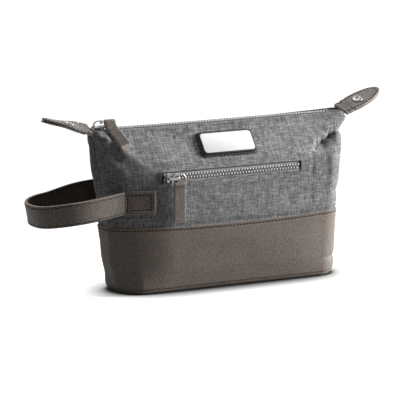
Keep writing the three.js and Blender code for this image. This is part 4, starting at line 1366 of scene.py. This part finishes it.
def leather_pull(name, place, length, width, slant_share, end_slope, short, roll, sink):
    """A leather strip folded over the ring's bar, its two cut ends lying together. The ends are
    cut at a slope, the outer one may be shorter, and the strip may roll towards its ends and
    sink towards the cloth."""
    rest = (PULL_LEATHER + PULL_GAP) / 2
    fold = arc((0, 0), PULL_HOLE + PULL_LEATHER / 2, PULL_WRAP, -2 * PULL_WRAP, FOLD_STEPS)
    line = [(0, y, rest) for y in np.linspace(short - length, -PULL_TAPER, STRIP_STEPS + 1)]
    line += [(0, y, z) for y, z in fold]
    line += [(0, y, -rest) for y in np.linspace(-PULL_TAPER, -length, STRIP_STEPS + 1)]
    bar, cut = soft_bar(width / 2, PULL_LEATHER / 2, PULL_LEATHER / 3, wrap=2)
    rings = []
    for (_, y, z), run in zip(line, runs(line)):
        out = run.cross(ACROSS)
        slope = end_slope * max(0, -y) / length
        turned = Matrix.Rotation(roll * float(smooth_step(-y, 0, length / 2)), 4, "Y")
        sunk = z - sink * float(smooth_step(-y, 0, PULL_SINK_RUN))
        shift = Vector((slant_share * max(0, -y - PULL_TAPER / 2), y, 0))
        ring = [turned @ (Vector((x, slope * x, sunk)) + out * off) + shift for x, off in bar]
        rings.append(placed(place, ring))
    inner = [at for at, (across, out) in enumerate(bar) if out > 0 and at not in cut]
    materials = [finishes[finish] for finish in ("strap_leather", "cut_leather_edge", "cut_leather_edge")]
    return swept(name, rings, *materials, edge_sides=cut, inner_sides=inner)


def zip_pull(name, place, ring_offset, ring_tilt, pull_turn, leather):
    """A slider, its ring and its leather pull, each on its own body."""
    settle(slider(f"{name}_slider_metal", place), f"{name}_slider", "hardware", f"{name}_slider_body")
    middle = CHAIN_HALF_HEIGHT + PLATE_GAP + TOP_PLATE + RING_AXIS_RISE
    ring = place @ Matrix.Translation((ring_offset, 0, middle)) @ Matrix.Rotation(-ring_tilt, 4, "X")
    settle(ring_wire(f"{name}_ring", ring), f"{name}_ring", "hardware", f"{name}_ring_wire")
    hang = ring @ Matrix.Translation((0, -BAR_REACH, 0)) @ Matrix.Rotation(ring_tilt + pull_turn, 4, "X")
    pull = leather_pull(f"{name}_pull_strip", hang, *leather)
    settle(pull, f"{name}_pull", "leather", f"{name}_pull_leather")


def pocket_place(along=0):
    middle = (0, CLOTH_THICKNESS / 2 - HALF_DEPTH, POCKET_MIDDLE)
    return Matrix.Translation(middle) @ Matrix.Rotation(QUARTER, 4, "X") @ Matrix.Translation((along, 0, 0))


def build_pulls():
    main = Matrix.Translation((MAIN_SLIDER_REST, 0, CHAIN_HEIGHT))
    zip_pull("main", main, MAIN_RING_OFFSET, MAIN_RING_TILT, SLOPE_ANGLE + PULL_REST, MAIN_PULL)
    zip_pull("pocket", pocket_place(POCKET_SLIDER_REST), POCKET_RING_OFFSET, 0, 0, POCKET_PULL)


# Front pocket


def build_pocket():
    """The pocket's zip, the fold over its lower tape, the lip round it and the pouch."""
    place = pocket_place()
    start, stop = POCKET_LEFT + POCKET_END_GAPS[0], POCKET_RIGHT - POCKET_END_GAPS[1]
    low, high = tooth_places(start, stop)
    sizes = (TOOTH_PITCH, TOOTH_WIDTH, TOOTH_OUTER - TOOTH_INNER, TOOTH_HEIGHT)
    for name, side, reach, sink in POCKET_TAPES:
        edges = tape_section(side, TAPE_INNER, POCKET_HALF_HEIGHT + reach, sink)
        # the tape's finish is painted lighter than its own grey, for the lip's shade
        tape = strip(f"pocket_{name}_tape", start, stop, edges, place, "zip_tape")
        settle(tape, "bag", "tape", f"pocket_tape_{name}")
        shift = TOOTH_PITCH / 2 if side > 0 else 0
        ends = (low + shift, high - TOOTH_PITCH + shift)
        path = placed(place, [(x, side * (TOOTH_INNER + TOOTH_OUTER) / 2, 0) for x in ends])
        teeth = bars(f"pocket_{name}_teeth", [path], [-AWAY], "zip_teeth", *sizes)
        settle(teeth, "bag", "hardware", f"pocket_teeth_{name}")
    fold, _ = soft_bar(*FACING_SIZE)
    settle(strip("pocket_facing", start, stop, fold + FACING_PLACE, place, "melange_cloth"), "bag", "fabric")
    settle(pocket_lip(place), "bag", "fabric")
    settle(pouch(), "bag", "lining", "pocket_pouch")


def pocket_lip(place):
    """The rolled cloth edge round the pocket's opening."""
    points = rounded_outline(POCKET_RIGHT - POCKET_LEFT, 2 * POCKET_HALF_HEIGHT, POCKET_LIP_CORNER)
    points[:, 0] += (POCKET_LEFT + POCKET_RIGHT) / 2
    dense = []
    for here, there in zip(points, np.roll(points, -1, axis=0)):
        steps = max(1, round(np.linalg.norm(there - here) / LIP_STEP))
        dense += [here + (there - here) * step / steps for step in range(steps)]
    dense = np.array(dense)
    lengths = np.cumsum(np.linalg.norm(np.roll(dense, -1, axis=0) - dense, axis=1))
    rings, surface = [], []
    for point, normal, length in zip(dense, plan_normals(dense), lengths):
        middle = Vector((*point, POCKET_LIP / 2))
        rings.append(placed(place, circle(middle, Vector((*normal, 0)), UP, POCKET_LIP, LIP_STEPS)))
        surface += [(length, POCKET_LIP * math.tau * step / LIP_STEPS) for step in range(LIP_STEPS)]
    return swept("pocket_lip", rings, finishes["melange_cloth"], closed=True, surface=np.array(surface))


def pouch():
    """The flat inner pocket between the wall and the lining."""
    top = BEND - 2 * LINING_GAP
    stations = np.linspace(POCKET_LEFT - POUCH_SIDE, POCKET_RIGHT + POUCH_SIDE, POUCH_COLUMNS)
    heights = np.linspace(top - POUCH_HEIGHT, top, POUCH_ROWS)
    insets = (POUCH_INSET, POUCH_INSET + POUCH_DEPTH / 2)
    outer, inner = [np.array([outline(stations, height, -inset) for height in heights]) for inset in insets]
    surface = np.stack(np.meshgrid(stations, heights), axis=2)
    return sheet_mesh("pocket_pouch_sheet", outer, inner, finishes["lining_weave"], surface)


# Label


def label_outline(inset, corner):
    """The label's rounded outline, this far inside its edge."""
    return rounded_outline(LABEL_WIDTH - 2 * inset, LABEL_HEIGHT - 2 * inset, corner)


def build_label():
    """The blank plate on a raised block, over a stitched patch."""
    place = Matrix.Translation((LABEL_SHIFT, -HALF_DEPTH, BEND)) @ Matrix.Rotation(SLOPE_ANGLE, 4, "X")
    place = place @ Matrix.Translation((0, LABEL_RISE, 0))
    half = LABEL_THICKNESS / 2
    flange = LABEL_GAP + half
    top = LABEL_GAP + LABEL_THICKNESS + LABEL_PLATE_THICKNESS
    foot, face, rim = top - LABEL_EDGE, top + LABEL_PLATE_EDGE, LABEL_PLATE_EDGE / 2
    for name, finish, inset, rounder, low, high, edge, *nodes in (
        ("patch_flange", "label_rim", -LABEL_FLANGE, LABEL_FLANGE, -half, flange, LABEL_EDGE, "label_patch"),
        ("rim_block", "label_rim", BLOCK_MARGIN, -BLOCK_MARGIN / 2, 0, top, LABEL_EDGE),
        ("face", "label_plate", PLATE_MARGIN, -PLATE_MARGIN / 2, foot, face, rim, "label_plate"),
    ):
        points = label_outline(inset, LABEL_CORNER + rounder)
        layer = plate(f"label_{name}", points, low, high, edge, place, finish)
        settle(layer, "front_flap", finish, *nodes)
    line = label_outline(LABEL_STITCH_INSET, LABEL_CORNER - LABEL_STITCH_INSET / 2)
    path = placed(place, [(x, y, flange) for x, y in [*line, line[0]]])
    seam = stitches("label_stitches", [path], [place.to_3x3() @ UP], "label_thread")
    settle(seam, "front_flap", "label_rim")


# Carry loop


def strap_tip(share):
    """How near a place on the loop is to its far end, from 0 to 1."""
    return math.sin(share * math.pi) ** STRAP_TIP_POWER


def strap_point(share):
    """The middle of the loop at a share of its way from the front to the back."""
    sine, cosine = math.sin(share * math.pi), -math.cos(share * math.pi)
    sweep = sine**STRAP_SWEEP_SHARE if 0 < share < 1 else 0
    turned = float(shoulder_depth(STRAP_SEWN_LEFT, STRAP_HEIGHT)) * (1 - sweep) ** 2
    y = math.copysign(abs(cosine) ** STRAP_BOW_SHARE, cosine) * (STRAP_ROOT + STRAP_BOW * sine - turned)
    rise = STRAP_BACK_RISE * float(smooth_step(share, *STRAP_RISE_SHARES))
    z = STRAP_HEIGHT - STRAP_DROOP * sweep + rise - STRAP_TIP_DROOP * strap_tip(share)
    return Vector((STRAP_SEWN_LEFT + (STRAP_FAR_END - STRAP_SEWN_LEFT) * sweep, y, z))


def even_shares(count):
    """Shares of the loop that are the same distance apart along it."""
    fine = np.linspace(0, 1, STRAP_SAMPLES)
    points = np.array([strap_point(share) for share in fine])
    run = np.concatenate([[0], np.cumsum(np.linalg.norm(np.diff(points, axis=0), axis=1))])
    return np.interp(np.linspace(0, run[-1], count), run, fine)


def build_strap():
    """The loop's free run of two leather layers with stitched edges, and its two sewn ends."""
    shares = even_shares(STRAP_STEPS + 1)
    centres = [strap_point(share) for share in shares]
    level_runs = [Vector((run.x, run.y, 0)).normalized() for run in runs(centres)]
    level_runs[0], level_runs[-1] = -ACROSS, ACROSS
    half = STRAP_WIDTH / 2
    bar, cut = soft_bar(half, STRAP_THICKNESS / 2, STRAP_EDGE, STRAP_FACE_STEPS, wrap=1)
    seams = [(way, edge, [], []) for way in (1, -1) for edge in (1, -1)]
    rings = []
    for share, centre, run in zip(shares, centres, level_runs):
        level = Vector((run.y, -run.x, 0))
        up = (UP - STRAP_LEAN_SHARE * strap_tip(share) * level).normalized()
        out = run.cross(up).normalized()
        rings.append(np.array([centre + up * across + out * off for across, off in bar]))
        for way, edge, path, outs in seams:
            path.append(centre + up * edge * (half - STRAP_STITCH_INSET) + out * way * STRAP_THICKNESS / 2)
            outs.append(out * way)
    inner = [at for at, (across, out) in enumerate(bar) if out > 0 and at not in cut]
    # the inner face takes a darker copy of the loop's leather, painted for the shade inside the loop
    materials = [finishes[finish] for finish in ("loop_leather", "loop_edge", "loop_lining")]
    loop = swept("carry_loop", rings, *materials, edge_sides=cut, inner_sides=inner)
    paths, outs = [[np.array(seam[column]) for seam in seams] for column in (2, 3)]
    for piece in (loop, stitches("carry_loop_stitches", paths, outs)):
        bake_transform(piece)
    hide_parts("strap_outer", "strap_inner")
    for name, side in SIDES:
        build_strap_end(name, side)


def wall_line(xs, side, off):
    """Places on the wall at the height of a sewn end, this far off it."""
    height = STRAP_HEIGHT + (STRAP_BACK_RISE if side > 0 else 0)
    return outline(xs, height) * [1, -side, 1] + [0, side * off, 0]


def along_wall(corners, side, off):
    """A dense path over the wall through these places, each x and a height from the loop's middle."""
    points = []
    for (x, up), (next_x, next_up) in zip(corners[:-1], corners[1:]):
        steps = max(1, round(math.hypot(next_x - x, next_up - up) / SEWN_STEP))
        shares = [step / steps for step in range(steps)]
        points += [(x + (next_x - x) * share, up + (next_up - up) * share) for share in shares]
    xs, ups = np.array([*points, corners[-1]]).T
    path = wall_line(xs, side, off)
    path[:, 2] += ups
    return path


def build_strap_end(name, side):
    """The loop's flattened end, sewn down in a frame with a box of stitches and a pale raw edge."""
    half, left, right = STRAP_WIDTH / 2, STRAP_SEWN_LEFT, STRAP_SEWN_RIGHT
    xs = np.linspace(left, right, round((right - left) / SEWN_STEP) + 1)
    ups = np.linspace(-half, half, round(STRAP_WIDTH / SEWN_STEP) + 1)
    edge = np.minimum(np.minimum(xs - left, right - xs), half - np.abs(ups)[:, None])
    sunk = SEWN_RECESS * smooth_step(edge, SEWN_FRAME - SEWN_SLOPE, SEWN_FRAME)
    rounded = SEWN_SLOPE / 2 * (1 - smooth_step(edge, 0, SEWN_SLOPE))
    rises = ups[:, None, None] * [0, 0, 1]
    outer, inner = [wall_line(xs, side, off) + rises for off in (0, -CLOTH_THICKNESS / 2)]
    outer += (side * (SEWN_THICKNESS - sunk - rounded))[..., None] * [0, 1, 0]
    surface = np.stack(np.meshgrid(xs, ups), axis=2)
    patch = sheet_mesh(f"{name}_end_frame", outer, inner, finishes["sewn_leather"], surface, turned=side > 0)
    settle(patch, "bag", "leather", f"strap_end_{name}")
    low, high, reach = left + SEWN_STITCH_INSET, right - SEWN_STITCH_INSET, half - SEWN_STITCH_INSET
    box = [(low, -reach), (high, -reach), (high, reach), (low, reach), (low, -reach)]
    seam_path = along_wall(box, side, SEWN_THICKNESS - SEWN_RECESS)
    settle(stitches(f"{name}_end_stitches", [seam_path], [(0, side, 0)]), "bag", "leather")
    rim = [(left, half), (right, half), (right, -half), (left, -half)]
    path = along_wall(rim, side, SEWN_THICKNESS - PIPING_RADII[1])
    out = Vector((0, side, 0))
    rings = []
    for point, run in zip(path, runs(path)):
        radius = float(np.interp(point[0], (right - SEWN_FRAME, right), PIPING_RADII))
        rings.append(np.array(circle(Vector(point), run.cross(out).normalized(), out, radius, PIPING_STEPS)))
    settle(swept(f"{name}_end_edge", rings, finishes["cut_leather_edge"]), "bag", "leather")


# End tabs


def tab_half_width(along):
    """The tab's half width: nearly straight to its widest, then a half ellipse to the tip."""
    if along < TAB_WIDEST:
        return TAB_HALF_WIDTH * (TAB_BASE_SHARE + (1 - TAB_BASE_SHARE) * max(along, 0) / TAB_WIDEST)
    past = (along - TAB_WIDEST) / (TAB_LENGTH - TAB_WIDEST)
    return TAB_HALF_WIDTH * math.sqrt(max(1 - past * past, 0))


def tab_twist(along, twist):
    """The more roll that a tab has near its root."""
    return Matrix.Rotation(twist * (1 - float(smooth_step(along, *TWIST_RUN))), 4, "X")


def tab_face(along):
    """How far a layer's inner face stands off the tab's middle."""
    return LINING_GAP / 2 + TAB_PART * float(smooth_step(along, RIVET_ALONG, TAB_LENGTH))


def tab_layer(name, place, sign, twist):
    """One leather layer of a tab, from its root to its rounded tip, creased near its root."""
    tip = np.sin(np.linspace(0, QUARTER, TIP_STEPS, endpoint=False))
    alongs = [*np.linspace(-TAB_ROOT, TAB_WIDEST, TAB_STEPS, endpoint=False)]
    alongs += [*(TAB_WIDEST + (TAB_LENGTH - TAB_WIDEST) * tip), TAB_LENGTH - TAB_LEATHER / 8]
    rings = []
    for along in alongs:
        half = max(tab_half_width(along), TAB_LEATHER / 2)
        bar, cut = soft_bar(half, TAB_LEATHER / 2, TAB_LEATHER / 4, TAB_FACE_STEPS)
        sunk = np.zeros(len(bar))
        for at, slant in TAB_CREASES:
            sunk += TAB_CREASE_DEPTH * bell(along - at - slant * bar[:, 0], TAB_CREASE_REACH)
        bar[:, 1] -= np.where(bar[:, 1] * sign > 0, sign * sunk, 0)
        centre = sign * (TAB_LEATHER / 2 + tab_face(along))
        ring = [(along, across, centre + out) for across, out in bar]
        rings.append(placed(place @ tab_twist(along, twist), ring))
    return swept(name, rings, finishes["strap_leather"], finishes["cut_leather_edge"], edge_sides=cut)


def tab_seam(name, place, sign, twist):
    """The stitches round a tab, inside its edge."""
    inset = TAB_STITCH_INSET
    alongs = [*np.linspace(TAB_ROOT, TAB_LENGTH - 3 * inset, TAB_SEAM_STEPS + 1), TAB_LENGTH - 2 * inset]
    edge = [(along, max(tab_half_width(along) - inset, 0)) for along in alongs]
    edge += [(along, -half) for along, half in reversed(edge)]
    points, outs = [], []
    for along, across in edge:
        turned = place @ tab_twist(along, twist)
        points.append(turned @ Vector((along, across, sign * (TAB_LEATHER + tab_face(along)))))
        outs.append(turned.to_3x3() @ (sign * UP))
    return stitches(name, [np.array(points)], [np.array(outs)])


def lathe(name, profile, place):
    """A round metal piece about the local z axis from (radius, height) pairs."""
    rings = []
    for radius, height in profile:
        rings.append(placed(place, circle(height * UP, ACROSS, AWAY, radius, LATHE_STEPS)))
    return swept(name, rings, finishes["rivet_nickel"])


def rivet(name, place):
    """A tubular rivet: a domed cap with a dimple, and a washer under it."""
    face = LINING_GAP / 2 + TAB_LEATHER
    parts = []
    for part, sign, radius, height, shares in (
        ("cap", 1, RIVET_CAP, RIVET_CAP_HEIGHT, RIVET_CAP_SHARES),
        ("washer", -1, RIVET_WASHER, RIVET_WASHER_HEIGHT, RIVET_WASHER_SHARES),
    ):
        profile = [(radius * wide, sign * (face + height * up)) for wide, up in shares]
        parts.append(lathe(f"{name}_{part}", profile, place))
    return joined(name, *parts)


def build_tabs():
    """At each end of the ridge, two leather layers with their stitches and a rivet."""
    for name, side, pitch, roll, turn, twist in TABS:
        place = Matrix.Translation((side * TAB_OFFSET, 0, CHAIN_HEIGHT + TAB_RISE))
        place = place @ Matrix.Rotation(turn, 4, "Z") @ Matrix.Rotation(roll, 4, "X")
        place = place @ Matrix.Rotation(-pitch, 4, "Y")
        for level, sign in (("upper", 1), ("lower", -1)):
            leather = tab_layer(f"{name}_{level}_leather", place, sign, twist)
            settle(leather, name, "leather", f"{name}_{level}")
            settle(tab_seam(f"{name}_{level}_stitches", place, sign, twist), name, "leather")
        riveted = place @ tab_twist(RIVET_ALONG, twist) @ Matrix.Translation((RIVET_ALONG, 0, 0))
        settle(rivet(f"{name}_rivet_metal", riveted), name, "hardware", f"{name}_rivet")


# Lining of the lower part


def tub_rings(thickness):
    """Rings up one face of the lower lining, this far inside its outer face."""
    rings = []
    for height in np.linspace(TUB_FLOOR, BEND, TUB_ROWS):
        meet = smooth_step(height, BEND - TUB_FLARE, BEND)
        inset = TUB_INSET + (LINING_DEPTHS[0] + SLOPE_SAG - TUB_INSET) * meet + thickness
        ring = whole_outline(np.linspace(-END, END, TUB_STATIONS), height, -inset)
        away = 2 * RIPPLE * ripple(ring[None], RIPPLE_SIZE, LINING_SEED)[0] * (1 - meet)
        ring[:, :2] -= np.sign(ring[:, :2]) * away[:, None]
        rings.append(ring)
    rings[0][:, 2] += thickness
    return rings


def build_tub():
    """The lower lining: a loose tub that comes out to the cloth at its top."""
    rings = tub_rings(0) + tub_rings(LINING_THICKNESS)[::-1]
    surface = []
    for ring in rings:
        run = np.concatenate([[0], np.cumsum(np.linalg.norm(np.diff(ring, axis=0), axis=1))])
        surface += [(along, ring[0][2]) for along in run]
    tub = swept("lower_lining_tub", rings, finishes["lining_weave"], surface=np.array(surface))
    settle(tub, "bag", "lining", "lower_lining")


# Stage


def floor_finish():
    """White paper that keeps the bag's shadow and glows a little, so that it stays white; near the bag
    ambient occlusion darkens its colour and glow, a painted contact shadow.
    """
    paper = Finish("floor_paper", FLOOR_ROUGHNESS)
    seen = paper.seen()
    away = paper.node("ShaderNodeVectorMath", {"operation": "LENGTH"}, paper.place())
    far = paper.spread(away.outputs["Value"], *FLOOR_FADE)
    contact_shadow_ao = paper.node("ShaderNodeAmbientOcclusion", {"samples": CONTACT_SAMPLES}, Distance=CONTACT_REACH)
    unshadowed_share = paper.spread(contact_shadow_ao.outputs["AO"], *CONTACT_SHARES)
    near = paper.mix(unshadowed_share, BLACK, paper.mix(far, FLOOR_SEEN, BLACK))
    paper.put("Base Color", paper.mix(seen, FLOOR_BOUNCE, near))
    lit = paper.calculate("MULTIPLY", unshadowed_share, paper.spread(far, 0, 1, FLOOR_GLOW, 1))
    paper.put("Emission Color", WHITE)
    paper.put("Emission Strength", paper.calculate("MULTIPLY", seen, lit))
    return paper.material


def build_stage():
    """The paper floor, and a world that is white where it is seen and dim where it lights."""
    size = FLOOR_HALF_SIZE
    corners = [(-size, -size, 0), (size, -size, 0), (size, size, 0), (-size, size, 0)]
    new_piece("floor", corners, [(0, 1, 2, 3)], floor_finish())
    world = bpy.data.worlds.new("studio")
    world.use_nodes = True
    bpy.context.scene.world = world
    sky = Nodes(world.node_tree)
    backdrop = sky.tree.nodes["Background"]
    sky.feed(backdrop.inputs["Color"], WHITE)
    sky.feed(backdrop.inputs["Strength"], 1)
    fill = sky.node("ShaderNodeBackground", Color=WHITE, Strength=WORLD_FILL)
    chosen = sky.node("ShaderNodeMixShader", {}, sky.seen(), fill.outputs[0], backdrop.outputs[0])
    sky.feed(sky.tree.nodes["World Output"].inputs["Surface"], chosen.outputs[0])


def aimed(name, data, azimuth, elevation, distance):
    """A lamp or the camera, turned to the bag; azimuth 0 is straight in front."""
    flat = math.cos(elevation)
    direction = Vector((math.sin(azimuth) * flat, -math.cos(azimuth) * flat, math.sin(elevation)))
    made = linked(name, data)
    made.location = Vector(CAMERA_TARGET) + direction * distance
    made.rotation_euler = direction.to_track_quat("Z", "Y").to_euler()
    return made


def build_lamps():
    for name, size, power, *aim in LAMPS:
        data = bpy.data.lights.new(name, "AREA")
        data.shape = "DISK"
        data.size = size
        data.energy = power
        aimed(name, data, *aim)


def build_camera():
    data = bpy.data.cameras.new("photo_view")
    data.sensor_width = SENSOR_WIDTH_MM
    data.lens = LENS_MM
    data.clip_end = CLIP_END
    bpy.context.scene.camera = aimed("photo_view", data, *CAMERA_AIM)


def clear_start_objects():
    kept = {*frame["bodies"].values(), *frame["nodes"].values()}
    for leftover in [thing for thing in bpy.data.objects if thing not in kept]:
        bpy.data.objects.remove(leftover)


clear_start_objects()
build_camera()
build_cloth()
build_band()
build_base()
build_main_zip()
build_pulls()
build_pocket()
build_label()
build_strap()
build_tabs()
build_tub()
build_stage()
build_lamps()
bpy.context.scene.view_settings.view_transform = "Standard"
